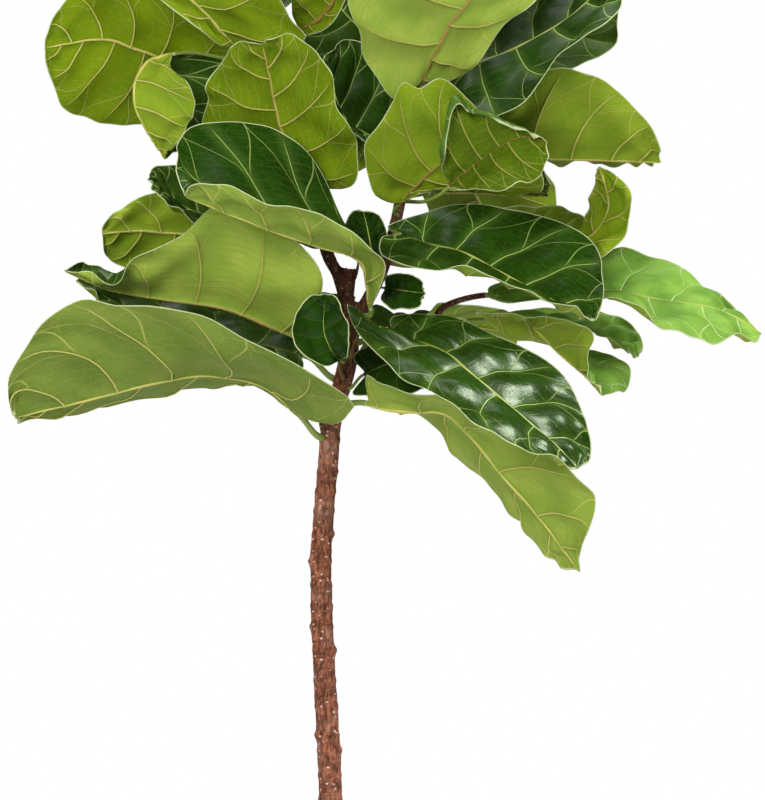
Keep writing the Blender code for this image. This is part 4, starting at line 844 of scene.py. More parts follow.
def under_finish(tree, fig):
    """The underside: light matt green, with raised ochre veins."""
    masks = vein_masks(tree, 0.72, 0.88)
    cloud = grain(tree, masks["plane"], 22.0, 4.0)
    # Positive tones are partly a young leaf's paler underside and partly a painted glow of light shining
    # through the blade.
    green = tint(tree, step(tree, masks["tone"], 0.0, 1.0), fig.under_deep, fig.under_young_and_glow)
    # Negative tones mix in painted shade: a darker colour that stands in for the shade on undersides deep in
    # the crown.
    green = tint(tree, step(tree, masks["tone"], 0.0, -1.0), green, fig.under_painted_shade)
    green = tint(tree, masks["wax"], green, tint(tree, 1.0, green, fig.under_wax, "ADD"))
    shade = tint(tree, step(tree, cloud, 0.28, 0.72), shaded(tree, green, (1.12, 1.08, 1.10)),
                 shaded(tree, green, (0.74, 0.82, 0.66)))
    vein = tint(tree, times(tree, masks["brown"], 0.35), fig.under_vein, fig.rib_brown)
    colour = painted(tree, shade,
                     # Painted shade and brown tinge along the raised side veins.
                     (masks["vein_shade_and_tinge"], 0.55, shaded(tree, shade, (0.78, 0.70, 0.62))),
                     (masks["mesh"], 0.10, fig.under_net), (masks["rung"], 0.26, fig.under_net),
                     (masks["net"], 0.15, fig.under_net), (masks["loop"], 0.45, vein),
                     (masks["side"], 0.85, vein))
    colour = tint(tree, masks["rib"], colour, tint(tree, masks["brown"], fig.under_rib, fig.rib_brown))
    colour = painted(tree, colour, (masks["rim"], 0.9, fig.margin))
    rough = plus_times(tree, cloud, 0.10, fig.under_roughness - 0.05)
    height = vein_relief(tree, masks, {"side": 1.0, "loop": 0.5, "net": 0.16, "mesh": 0.08, "rung": 0.35,
                                       "rib": 0.6})
    return {"colour": colour, "roughness": rough, "height": height, "depth": 0.0010, "specular": 0.12}


def stalk_finish(tree, fig):
    """The stalk: light green, browner and corky towards its foot."""
    along = parts(tree, stored(tree, "vein_place"))[2]
    speck = grain(tree, own_place(tree), 420.0, 3.0)
    colour = tint(tree, step(tree, along, -1.02, -0.86), fig.stalk_foot, fig.stalk)
    colour = painted(tree, colour, (step(tree, speck, 0.45, 0.75), 0.5, fig.stalk_foot))
    return {"colour": colour, "roughness": 0.5, "height": speck, "depth": 0.0004, "specular": 0.35}


def bark_finish(tree, fig):
    """Bark: reddish brown with long cracks, grey skin and pinkish breathing pores, with painted shade darkening
    it within the crown.
    """
    own = own_place(tree)
    long = stretched(tree, own, (1.0, 1.0, 0.38))
    streak = grain(tree, long, 210.0, 8.0, 0.75)
    cloud = grain(tree, own, 45.0, 4.0, 0.6)
    fleck = grain(tree, own, 620.0, 4.0, 0.7)
    crack = fade(tree, walls(tree, long, 130.0, "3D"), 0.02, 0.14)
    pore = dots(tree, stretched(tree, own, (1.0, 1.0, 1.5)), 120.0, (0.14, 0.30), (0.42, 0.50))
    ring = step(tree, grain(tree, stretched(tree, own, (0.25, 0.25, 1.6)), 130.0, 4.0, 0.6), 0.52, 0.66)
    colour = tint(tree, step(tree, streak, 0.38, 0.60), fig.bark_dark, fig.bark)
    colour = painted(tree, colour,
                     (ring, 0.60, fig.bark_dark), (step(tree, cloud, 0.46, 0.74), 0.45, fig.bark_light),
                     (step(tree, fleck, 0.55, 0.68), 0.50, fig.bark_light), (crack, 0.45, fig.bark_dark),
                     (pore, 0.85, fig.pore))
    # Painted shade: above the fork, inside the crown, the bark is darkened to stand in for the shade the leaves
    # cast on it.
    young = step(tree, parts(tree, own)[2], 0.92, 1.00)
    colour = painted(tree, colour, (young, 0.75, shaded(tree, colour, (0.36, 0.36, 0.30))))
    height = calc(tree, "ADD", relief(tree, [(streak, 0.7), (crack, -0.5)]),
                  plus_times(tree, pore, 0.45, times(tree, fleck, 0.35)))
    return {"colour": colour, "roughness": 0.72, "height": height, "depth": 0.0014, "specular": 0.35}


def bud_finish(tree, fig):
    """Buds and dry leaf sheaths: papery ochre brown with fine long ribs."""
    own = own_place(tree)
    rib = grain(tree, stretched(tree, own, (1.0, 1.0, 0.10)), 700.0, 3.0)
    colour = tint(tree, step(tree, rib, 0.35, 0.70), fig.bud_dark, fig.bud)
    colour = painted(tree, colour, (step(tree, grain(tree, own, 160.0, 3.0), 0.45, 0.75), 0.6, fig.bark_dark))
    return {"colour": colour, "roughness": 0.62, "height": rib, "depth": 0.0006, "specular": 0.35}


def soil_finish(tree, fig):
    """Potting soil: dark crumbs with paler fibres."""
    own = own_place(tree)
    coarse = grain(tree, own, 180.0, 6.0, 0.7)
    fine = grain(tree, own, 900.0, 3.0, 0.6)
    colour = tint(tree, step(tree, coarse, 0.35, 0.70), fig.soil_dark, fig.soil)
    colour = painted(tree, colour, (step(tree, fine, 0.58, 0.72), 0.5, fig.soil_fibre))
    height = calc(tree, "ADD", coarse, times(tree, fine, 0.4))
    return {"colour": colour, "roughness": 0.95, "height": height, "depth": 0.0030, "specular": 0.15}


def chip_finish(tree, fig):
    """Bark mulch: brown chips of uneven tone."""
    own = own_place(tree)
    fibre = grain(tree, stretched(tree, own, (1.0, 0.2, 1.0)), 900.0, 3.0)
    colour = tint(tree, step(tree, grain(tree, own, 60.0, 1.0), 0.35, 0.65), fig.soil, fig.chip)
    colour = painted(tree, colour, (step(tree, fibre, 0.4, 0.7), 0.5, fig.soil_dark))
    return {"colour": colour, "roughness": 0.88, "height": fibre, "depth": 0.0008, "specular": 0.20}


def stoneware_finish(tree, fig):
    """Stoneware: a matt warm white glaze with fine iron specks and faint throwing lines."""
    own = own_place(tree)
    cloud = grain(tree, own, 9.0, 3.0)
    turned = grain(tree, stretched(tree, own, (0.04, 0.04, 1.0)), 260.0, 3.0)
    speck = dots(tree, own, 330.0, (0.10, 0.22), (0.86, 0.92))
    colour = tint(tree, step(tree, cloud, 0.30, 0.70), fig.glaze, fig.glaze_shade)
    colour = painted(tree, colour, (speck, 0.75, fig.glaze_speck))
    height = relief(tree, [(turned, 0.5), (grain(tree, own, 700.0), 0.15)])
    return {"colour": colour, "roughness": plus_times(tree, cloud, 0.12, 0.46), "height": height,
            "depth": 0.0008, "specular": 0.45}


FINISHES = {"leaf_upper": upper_finish, "leaf_underside": under_finish, "leaf_stalk": stalk_finish,
            "bark_weathered": bark_finish, "bud_sheath": bud_finish, "soil_crumbs": soil_finish,
            "bark_mulch": chip_finish, "stoneware_glaze": stoneware_finish}


def material(name):
    """The named finish, made when it is first asked for."""
    made = bpy.data.materials.get(name)
    if made is None:
        fig = bpy.context.scene.fig_finish
        made = finished(name, lambda tree: FINISHES[name](tree, fig))
    return made


# ---------------------------------------------------------------- pieces

def placed(name, shape, finishes):
    """Turns a bmesh into an object of the scene, with its finishes."""
    mesh = bpy.data.meshes.new(name)
    shape.to_mesh(mesh)
    shape.free()
    for finish in finishes:
        mesh.materials.append(finish)
    made = bpy.data.objects.new(name, mesh)
    bpy.context.scene.collection.objects.link(made)
    return made


def piece(name, shape, finishes):
    """Turns a bmesh into a smooth piece that rides on the plant."""
    made = placed(name, shape, [material(finish_name) for finish_name in finishes])
    made.data.shade_smooth()
    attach(made, "root")
    return made


def close_ends(shape):
    """Caps the open ends of a tube with fans."""
    rims = [edge for edge in shape.edges if edge.is_boundary]
    caps = bmesh.ops.holes_fill(shape, edges=rims, sides=0)["faces"]
    bmesh.ops.poke(shape, faces=caps)


def grid_piece(rows, columns):
    """A flat grid whose corners are told by row and column."""
    shape = bmesh.new()
    bmesh.ops.create_grid(shape, x_segments=columns - 1, y_segments=rows - 1, size=1.0)
    shape.verts.ensure_lookup_table()
    return shape


def stalk_rows(leaf, size):
    """Centres, sideways and upward vectors, radii and shares of the way along a stalk, from bark to blade."""
    base = np.array(leaf.rib[0], float)
    _, out, foot = foot_at(leaf, STALK_SINK)
    first = smooth_curve(leaf.rib, [0.0, BLADE_START])
    heading = unit(first[1] - first[0])
    left, right = (smooth_curve([base, *margin, leaf.rib[-1]], [BLADE_START])[0]
                   for margin in (leaf.left, leaf.right))
    across = unit(left - right)
    reach = np.linalg.norm(base - foot)
    bends = np.array([foot, foot + out * STALK_BEND * reach, base - heading * STALK_BEND * reach, base])
    share = np.linspace(0.0, 1.0, STALK_ROWS)[:, None]
    points = ((1 - share)**3 * bends[0] + 3 * share * (1 - share)**2 * bends[1]
              + 3 * share**2 * (1 - share) * bends[2] + share**3 * bends[3])
    slopes = unit((1 - share)**2 * (bends[1] - bends[0]) + 2 * share * (1 - share) * (bends[2] - bends[1])
                  + share**2 * (bends[3] - bends[2]))
    sides = unit(across - slopes * (slopes @ across)[:, None])
    overs = np.cross(slopes, sides)
    radii = size * (STALK_RADIUS + (STALK_FOOT_RADIUS - STALK_RADIUS) * (1 - share[:, 0])**3)
    return points, sides, overs, radii, share[:, 0]


def blade_columns(width, rib_size, edge):
    """Places across a half blade, as fractions from the midrib to the margin, close together at both."""
    small = np.minimum(rib_size, 0.25 * width)
    inner = small[:, None] * np.array(RIB_SHARES) / width[:, None]
    last = inner[:, -1:]
    rim = 1.0 - np.minimum(edge, 0.1 * width)[:, None] / width[:, None]
    fill = np.linspace(0.0, 1.0, FILL_COLUMNS + 1)[1:]
    outer = last + (rim - last) * (1 - (1 - fill)**1.3)
    return np.hstack([np.zeros((len(width), 1)), inner, outer, np.ones((len(width), 1))])


def blade_rows(length):
    """Fractions along a blade: evenly spread, with three rows at each side vein."""
    near = SIDE_RIDGE_WIDTH / length
    veins = sorted(SIDE_VEINS[0] + SIDE_VEINS[1])
    kept = [place + shift for place in veins for shift in (-near, 0.0, near)]
    spread = [place for place in np.linspace(0.0, 1.0, FILL_ROWS)
              if min(abs(place - vein) for vein in veins) > 1.9 * near]
    return np.array(sorted(kept + spread))


def waves(turn, terms):
    """A sum of sine waves, each given by its height, its pace and its start."""
    return sum(height * np.sin(pace * turn + start) for height, pace, start in terms)


def half_blade(leaf, margin, sign, rows, rib_line, ahead_line, look, rib_size, edge):
    """The middle surface of one half of a blade, with what its veins need to know."""
    steps = np.linspace(0.0, 1.0, LINE_STEPS)
    margin_line = smooth_curve([leaf.rib[0], *margin, leaf.rib[-1]], steps)
    reach = margin_line - rib_line
    over_line = unit(np.cross(ahead_line, reach)) * sign
    good = np.nonzero(np.linalg.norm(reach, axis=1) > NARROW)[0]
    over_line = unit(np.stack([np.interp(np.arange(LINE_STEPS), good, over_line[good, axis])
                               for axis in range(3)], axis=1))
    sweep = look.sweep * np.sin(math.pi * np.clip(rows, 0, 1))**0.8
    width_line = np.maximum(np.linalg.norm(reach, axis=1), 1e-5)
    width = np.maximum(np.interp(rows, steps, width_line), np.interp(rows + sweep, steps, width_line) * 0.5)
    places = blade_columns(width, rib_size, edge)
    along = np.clip(rows[:, None] + sweep[:, None] * places**1.5, 0.0, 1.0)
    rib = sample(rib_line, along)
    side = sample(margin_line, along) - rib
    wobble = waves(2 * math.pi * along + look.sweep * 90 + sign, MARGIN_WAVES) - MARGIN_PEAK
    side = side * (1 + MARGIN_WOBBLE * wobble * places**2
                   * ease(along, 0.03, 0.2) * ease(along, 1.0, 0.85))[..., None]
    over = unit(sample(over_line, along))
    span = np.linalg.norm(side, axis=2, keepdims=True)

    def curled(depth):
        """Points at a share of the way to the margin, sagging from the straight line."""
        return rib + depth * side - 4 * leaf.curl * depth * (1 - depth) * span * over

    depth = places[..., None]
    surface = curled(depth)
    if look.roll * sign > 0:
        share = abs(look.roll) * ease(along, 0.06, 0.22) * ease(along, 0.98, 0.80)
        share = np.maximum(share, 0.01)[..., None]
        start = 1 - share
        turned = np.clip((depth - start) / share, 0.0, 1.0) * ROLL_TURN
        radius = share * span / ROLL_TURN
        rolled = curled(start) + radius * (np.sin(turned) * unit(side) - (1 - np.cos(turned)) * over)
        surface = np.where(depth > start, rolled, surface)
    return surface, places, span[..., 0]


def blade(leaf, look, seed, fig):
    """The upper and lower rows of points of a blade, with the stored facts of its veins."""
    rib_line = smooth_curve(leaf.rib, np.linspace(0.0, 1.0, LINE_STEPS))
    ahead_line = unit(np.gradient(rib_line, axis=0))
    length = np.sum(np.linalg.norm(np.diff(rib_line, axis=0), axis=1))
    size = float(np.clip((length / USUAL_LENGTH)**0.6, 0.45, 1.1))
    rows = blade_rows(length)
    rib_size = size * (RIB_TIP + RIB_SWELL * (1 - rows)**0.8)
    halves = []
    for margin, sign, places in ((leaf.left, 1.0, SIDE_VEINS[0]), (leaf.right, -1.0, SIDE_VEINS[1])):
        surface, across, span = half_blade(leaf, margin, sign, rows, rib_line, ahead_line, look, rib_size,
                                           fig.margin_width)
        count = np.interp(rows, [0.0, *places, 1.0], np.arange(len(places) + 2))
        lean = np.gradient(surface, rows, axis=0)
        outward = unit(np.gradient(surface, axis=1))
        gap = np.linalg.norm(np.cross(lean, outward), axis=2)
        gap = gap / np.maximum(np.gradient(count, rows), 1e-6)[:, None]
        halves.append((surface, across, span, np.repeat(count[:, None], across.shape[1], axis=1), gap,
                       sign * across * span))
    middle, across, span, count, gap, signed = (
        np.concatenate([left[:, ::-1], right[:, 1:]], axis=1) for left, right in zip(*halves))
    along = np.repeat(rows[:, None], across.shape[1], axis=1)

    def normals(points):
        """Which way is up at each point of the blade."""
        return unit(np.cross(np.gradient(points, axis=1), np.gradient(points, rows, axis=0)))

    ends = ease(along, 0.02, 0.16) * ease(along, 1.0, 0.88)
    phase = seed * LEAF_TURN
    wave = np.sin(2 * math.pi * (2.3 * along + 0.07 * np.sign(signed)) + phase)
    wave += 0.60 * np.sin(2 * math.pi * 5.1 * along + 2.1 * phase + np.sign(signed))
    wave += 0.25 * np.sin(2 * math.pi * 9.3 * along + 3.7 * phase - np.sign(signed))
    ruffle = RUFFLE * look.ripple * size * ease(across, 0.45, 1.0)**1.5 * wave * ends
    centred = 0.5 - np.abs(count - np.floor(count) - 0.5)
    quilt = fig.quilt * size * np.sin(math.pi * centred) * np.sin(math.pi * np.clip(across, 0, 1)**0.75) * ends
    swell = SWELL * size * ease(across, 0.05, 0.5) * np.sin(17 * along + 9 * across + phase) * ends
    middle = middle + (ruffle + quilt + swell)[..., None] * normals(middle)
    over = normals(middle)
    near_rib = np.abs(signed) / (RIB_SPREAD * rib_size[:, None])
    ridge = RIB_DEPTH * rib_size[:, None] * np.clip(1 - near_rib**2, 0, 1)
    side_ridge = (SIDE_RIDGE_DEPTH * size * np.clip(1 - centred * gap / SIDE_RIDGE_WIDTH, 0, 1)
                  * ease(across, 0.98, 0.80))
    half = 0.5 * fig.blade_thickness
    upper = middle + (half - SUNKEN * side_ridge)[..., None] * over
    lower = middle - (half + ridge + side_ridge)[..., None] * over

    def fact(*three):
        """Three numbers for each point of the blade."""
        return np.stack(np.broadcast_arrays(*three), axis=2)

    edge = (1 - across) * span
    facts = {"rows": rows, "length": length, "size": size, "rib_points": smooth_curve(leaf.rib, rows),
             "place": fact(count, np.abs(across), along),
             "plane": fact(signed, along * length + LEAF_SHIFT * seed, look.rib),
             "upper_extent": fact(gap, edge, look.upper), "under_extent": fact(gap, edge, look.under)}
    return upper, lower, facts


def leaf_piece(leaf, look, seed, fig):
    """One leaf: a grid wrapped into a ring that is round along the stalk and flat across the blade."""
    upper, lower, facts = blade(leaf, look, seed, fig)
    top, under = upper.shape[1], lower.shape[1]
    ring = top + under
    turn = np.concatenate([np.linspace(4, 176, top), np.linspace(184, 356, under)]) * math.pi / 180
    points, sides, overs, radii, share = stalk_rows(leaf, facts["size"])
    rows = facts["rows"]
    many = len(rows)

    def circle(centre, side, over, radius):
        """Rings of points round a line."""
        return centre[:, None] + radius[:, None, None] * (
            np.cos(turn)[None, :, None] * side[:, None] + np.sin(turn)[None, :, None] * over[:, None])

    def ringed(stalk, above, below):
        """Rows along the stalk, then rows round the blade, each closed to a ring."""
        whole = np.concatenate([stalk, np.concatenate([above, below[:, ::-1]], axis=1)], axis=0)
        return np.concatenate([whole, whole[:, :1]], axis=1)

    start = circle(facts["rib_points"], np.repeat(sides[-1:], many, 0), np.repeat(overs[-1:], many, 0),
                   np.full(many, radii[-1]))
    blend = ease(rows * facts["length"], 0.0, BLADE_BLEND)[:, None, None]
    upper = start[:, :top] * (1 - blend) + upper * blend
    lower = start[:, :top - 1:-1] * (1 - blend) + lower * blend
    shell = ringed(circle(points, sides, overs, radii)[:-1], upper, lower)
    shell = np.clip(shell, np.array(CAD_BOX[0]) + BOX_INSET, np.array(CAD_BOX[1]) - BOX_INSET)
    blank = np.zeros((STALK_ROWS - 1, ring, 3))
    stalk_place = blank.copy()
    stalk_place[..., 2] = (share[:-1] - 1.0)[:, None]

    shape = grid_piece(shell.shape[0], ring + 1)
    for vert, point in zip(shape.verts, shell.reshape(-1, 3)):
        vert.co = point
    for name, values in (("vein_place", ringed(stalk_place, facts["place"], facts["place"])),
                         ("vein_size", ringed(blank, facts["upper_extent"], facts["under_extent"])),
                         ("blade_plane", ringed(blank, facts["plane"], facts["plane"])),
                         ("leaf_look", np.full(shell.shape, (look.wax, look.veins, look.gloss)))):
        layer = shape.verts.layers.float_vector.new(name)
        for vert, value in zip(shape.verts, values.reshape(-1, 3)):
            vert[layer] = value
    shape.faces.ensure_lookup_table()
    for index, face in enumerate(shape.faces):
        row, column = divmod(index, ring)
        face.material_index = 2 if row < STALK_ROWS - 1 else 0 if column < top - 1 else 1
    bmesh.ops.remove_doubles(shape, verts=shape.verts, dist=1e-7)
    close_ends(shape)
    stalk = "bark_weathered" if leaf.name in WOODY_STALKS else "leaf_stalk"
    made = piece(f"{leaf.name}_blade", shape, ("leaf_upper", "leaf_underside", stalk))
    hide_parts(leaf.name)


def tube(points, radii, columns):
    """A grid wrapped round a line of points into a closed tube."""
    points = np.array(points, float)
    ahead = unit(np.gradient(points, axis=0))
    sides = [unit(np.cross(ahead[0], [0.0, 1.0, 0.1]))]
    for slope in ahead[1:]:
        sides.append(unit(sides[-1] - slope * np.dot(sides[-1], slope)))
    sides = np.array(sides)
    others = np.cross(ahead, sides)
    shape = grid_piece(len(points), columns + 1)
    turn = np.linspace(0.0, 2 * math.pi, columns + 1)
    for index, vert in enumerate(shape.verts):
        row, column = divmod(index, columns + 1)
        vert.co = points[row] + radii[row] * (math.cos(turn[column]) * sides[row]
                                              - math.sin(turn[column]) * others[row])
    bmesh.ops.remove_doubles(shape, verts=shape.verts, dist=1e-6)
    close_ends(shape)
    bmesh.ops.recalc_face_normals(shape, faces=shape.faces)
    return shape


def bark_relief(place):
    """How far the bark stands out at a point: long ridges, fine crust, and the scars of old leaves."""
    x, y, z = place
    out = 0.0
    for height, across, along in BARK_GRAINS:
        out += height * noise.noise(Vector((x * across, y * across, z * along)))
    out -= YOUNG_SHRINK * float(ease(z, 0.96, 1.06))
    near_stub = all(abs(at - middle) < reach for at, middle, reach in zip(place, STUB_MIDDLE, STUB_REACH))
    if z > STUB_HEIGHT and near_stub:
        out += STUB_SPLINTERS * noise.noise(Vector((x * 220, y * 220, 2.0))) - STUB_SHRINK
    if z < SCARRED_HEIGHT:
        trunk = np.array(WOOD_POINTS["trunk"])
        bearing = math.degrees(math.atan2(y, x - np.interp(z, trunk[:, 2], trunk[:, 0])))
        for height, side, size in SCARS:
            rise = (z - height) / SCAR_HALF_HEIGHT
            if abs(rise) < 3:
                turn = ((bearing - side + 180) % 360 - 180) / SCAR_HALF_TURN
                out += size * math.exp(-turn * turn) * math.exp(-rise * rise) * 0.75
                out += SCAR_RING * math.exp(-(rise * 2.2)**2) - SCAR_GROOVE * math.exp(-((rise - 1.0) * 2.5)**2)
    return out


# ---------------------------------------------------------------- settings

def colour(name, value, text):
    """A colour setting."""
    return FloatVectorProperty(name=name, description=text, default=value, subtype="COLOR", size=3,
                               min=0.0, max=1.0)


def amount(name, value, text, low=0.0, high=1.0, unit="NONE"):
    """A number setting."""
    return FloatProperty(name=name, description=text, default=value, min=low, max=high, unit=unit)


class FigFinish(bpy.types.PropertyGroup):
    """Sizes and colours of the plant."""
    blade_thickness: amount("Blade thickness", 0.0008, "Thickness of a leaf between its veins", 0.0003, 0.003,
                            "LENGTH")
    margin_width: amount("Margin width", 0.0009, "Width of the thickened pale margin", 0.0002, 0.004, "LENGTH")
    quilt: amount("Quilting", 0.0074, "How far a blade swells between its side veins", 0.0, 0.01, "LENGTH")
    upper_roughness: amount("Upper roughness", 0.24, "Roughness of the upper face")
    under_roughness: amount("Underside roughness", 0.58, "Roughness of the underside")
    upper_dark: colour("Upper dark", (0.013, 0.052, 0.0005), "Upper face of an old leaf")
    upper_pale: colour("Upper pale", (0.280, 0.505, 0.072), "Upper face of a young leaf")
    upper_vein: colour("Upper veins", (0.420, 0.560, 0.150), "Side veins on the upper face")
    upper_rib: colour("Upper midrib", (0.440, 0.500, 0.120), "Midrib on the upper face")
    young_vein: colour("Young veins", (0.640, 0.800, 0.340), "Side veins on the upper face of a young leaf")
    upper_rib_foot: colour("Upper midrib foot", (0.150, 0.170, 0.020), "Upper face's midrib near the stalk")
    # Painted shade: a colour that stands in for the shade on an underside deep in the crown.
    under_painted_shade: colour("Underside shade", (0.070, 0.130, 0.001), "Underside of a leaf deep in the crown")
    under_deep: colour("Underside deep", (0.160, 0.250, 0.001), "Underside of an old leaf")
    # Partly the paler underside of a young leaf, partly a painted glow of light shining through it.
    under_young_and_glow: colour("Underside bright", (0.330, 0.480, 0.020), "Underside of a young leaf")
    under_wax: colour("Underside wax", (0.050, 0.042, 0.048), "Grey bloom on the underside")
    under_net: colour("Underside net", (0.400, 0.450, 0.070), "Fine veins on the underside")
    under_vein: colour("Underside veins", (0.640, 0.620, 0.170), "Side veins on the underside")
    under_rib: colour("Underside midrib", (0.620, 0.580, 0.150), "Midrib on the underside")
    rib_brown: colour("Brown midrib", (0.270, 0.130, 0.040), "Midrib on the underside of some leaves")
    margin: colour("Margin", (0.560, 0.620, 0.330), "Pale edge of a blade")
    stalk: colour("Stalk", (0.230, 0.330, 0.060), "Leaf stalk")
    stalk_foot: colour("Stalk foot", (0.200, 0.130, 0.060), "Corky foot of a stalk")
    bark: colour("Bark", (0.440, 0.150, 0.080), "Bark")
    bark_dark: colour("Bark cracks", (0.080, 0.026, 0.012), "Cracks in the bark")
    bark_light: colour("Bark skin", (0.520, 0.290, 0.215), "Weathered skin of the bark")
    pore: colour("Pores", (0.860, 0.620, 0.500), "Breathing pores of the bark")
    bud: colour("Bud", (0.420, 0.260, 0.090), "Dry sheath of a bud")
    bud_dark: colour("Bud ribs", (0.200, 0.100, 0.035), "Ribs of a sheath")
    soil: colour("Soil", (0.060, 0.038, 0.024), "Potting soil")
    soil_dark: colour("Soil shade", (0.018, 0.011, 0.008), "Damp soil")
    soil_fibre: colour("Soil fibre", (0.220, 0.150, 0.090), "Fibres in the soil")
    chip: colour("Mulch", (0.200, 0.110, 0.060), "Bark chips on the soil")
    glaze: colour("Glaze", (0.720, 0.700, 0.650), "Glaze of the pot")
    glaze_shade: colour("Glaze shade", (0.640, 0.610, 0.550), "Thin glaze of the pot")
    glaze_speck: colour("Glaze specks", (0.200, 0.130, 0.080), "Iron specks in the glaze")


class FigStage(bpy.types.PropertyGroup):
    """The studio: floor, lights and camera."""
    floor_radius: amount("Floor radius", 3.6, "Radius of the floor", 1.0, 20.0, "LENGTH")
    floor_clear: amount("Solid floor", 1.5, "Radius within which the floor does not fade", 0.5, 20.0, "LENGTH")
    floor_colour: colour("Floor", (0.80, 0.80, 0.79), "Plain pale floor")
    backdrop: amount("Backdrop", 1.0, "Brightness of the plain backdrop", 0.0, 5.0)
    ambient: amount("Ambient", 0.27, "Brightness of the light from all round", 0.0, 5.0)
    key: amount("Key light", 96.0, "Power of the large front light", 0.0, 1000.0, "POWER")
    fill: amount("Fill light", 76.0, "Power of the side light", 0.0, 1000.0, "POWER")
    top: amount("Top light", 80.0, "Power of the overhead light", 0.0, 1000.0, "POWER")
    sheen: amount("Sheen light", 430.0, "Power of the light mirrored by glossy leaves", 0.0, 1000.0, "POWER")
    distance: amount("Camera distance", 6.0, "From the camera to the crown", 1.0, 50.0, "LENGTH")
    lens: amount("Lens", 225.0, "Focal length in millimetres", 10.0, 500.0, "CAMERA")


# ---------------------------------------------------------------- operators

class FIG_OT_stage(bpy.types.Operator):
    """Adds the floor, the backdrop, the lights and the camera"""
    bl_idname = "fig.stage"
    bl_label = "Studio"

    def execute(self, context):
        studio = context.scene.fig_stage
        self.floor(studio)
        self.backdrop(studio)
        world = bpy.data.worlds.new("studio")
        context.scene.world = world
        world.use_nodes = True
        world.node_tree.nodes["Background"].inputs["Color"].default_value = (1.0, 1.0, 1.0, 1.0)
        world.node_tree.nodes["Background"].inputs["Strength"].default_value = studio.ambient
        world.cycles_visibility.glossy = False
        for name, (place, target, width, height) in LIGHTS.items():
            data = bpy.data.lights.new(name, "AREA")
            data.shape = "RECTANGLE"
            data.size, data.size_y, data.energy = width, height, getattr(studio, name)
            lamp = bpy.data.objects.new(name, data)
            lamp.location = place
            lamp.rotation_euler = (Vector(target) - Vector(place)).to_track_quat("-Z", "Y").to_euler()
            lamp.visible_glossy = name not in ("key", "fill")
            lamp.visible_diffuse = name != "sheen"
            context.scene.collection.objects.link(lamp)
            if name == "sheen":
                data.color = SHEEN_COLOUR
                lamp.light_linking.receiver_collection = self.shining()
        lens = bpy.data.cameras.new("camera")
        lens.lens, lens.sensor_width, lens.clip_end = studio.lens, 36.0, 100.0
        camera = bpy.data.objects.new("camera", lens)
        camera.location = (CROWN_MIDDLE[0], -studio.distance, CROWN_MIDDLE[1])
        camera.rotation_euler = (math.radians(90), 0.0, 0.0)
        context.scene.collection.objects.link(camera)
        context.scene.camera = camera
        context.scene.view_settings.view_transform = "Standard"
        return {"FINISHED"}

    def shining(self):
        """The leaves that mirror the sheen light: those whose upper face is glossier than the shining gloss."""
        made = bpy.data.collections.new("shining")
        for leaf in LEAVES:
            if LOOKS.get(leaf.name, Look()).gloss > SHINING_GLOSS:
                made.objects.link(bpy.data.objects[f"{leaf.name}_blade"])
        return made

    def floor(self, studio):
        """A pale floor that fades out far from the pot."""
        def finish(tree):
            """Nearly even, a little darker in places."""
            own = own_place(tree)
            worn = [0.97 * part for part in studio.floor_colour]
            tone = tint(tree, grain(tree, own, 1.2), studio.floor_colour, worn)
            away = add(tree, "ShaderNodeVectorMath", {0: own}, operation="LENGTH").outputs["Value"]
            return {"colour": tone, "roughness": 0.7, "height": grain(tree, own, 300.0), "depth": 0.0002,
                    "specular": 0.2, "alpha": fade(tree, away, studio.floor_clear, studio.floor_radius)}

        shape = bmesh.new()
        bmesh.ops.create_circle(shape, cap_ends=True, radius=studio.floor_radius, segments=128)
        floor = placed("floor", shape, [finished("floor", finish)])

    def backdrop(self, studio):
        """A bright shell round everything, which only the camera sees."""
        shape = bmesh.new()
        bmesh.ops.create_icosphere(shape, subdivisions=4, radius=BACKDROP_RADIUS)
        bmesh.ops.reverse_faces(shape, faces=shape.faces)
        made = bpy.data.materials.new("backdrop")
        made.use_nodes = True
        made.node_tree.nodes.clear()
        glow = add(made.node_tree, "ShaderNodeEmission", {"Strength": studio.backdrop})
        add(made.node_tree, "ShaderNodeOutputMaterial", {"Surface": glow.outputs[0]})
        backdrop = placed("backdrop", shape, [made])
        for way in ("diffuse", "glossy", "transmission", "shadow", "volume_scatter"):
            setattr(backdrop, f"visible_{way}", False)


class FIG_OT_leaves(bpy.types.Operator):
    """Adds every leaf of the crown in place of its plain body"""
    bl_idname = "fig.leaves"
    bl_label = "Leaves"

    def execute(self, context):
        for seed, leaf in enumerate(all_leaves()):
            leaf_piece(leaf, LOOKS.get(leaf.name, Look()), seed, context.scene.fig_finish)
        return {"FINISHED"}


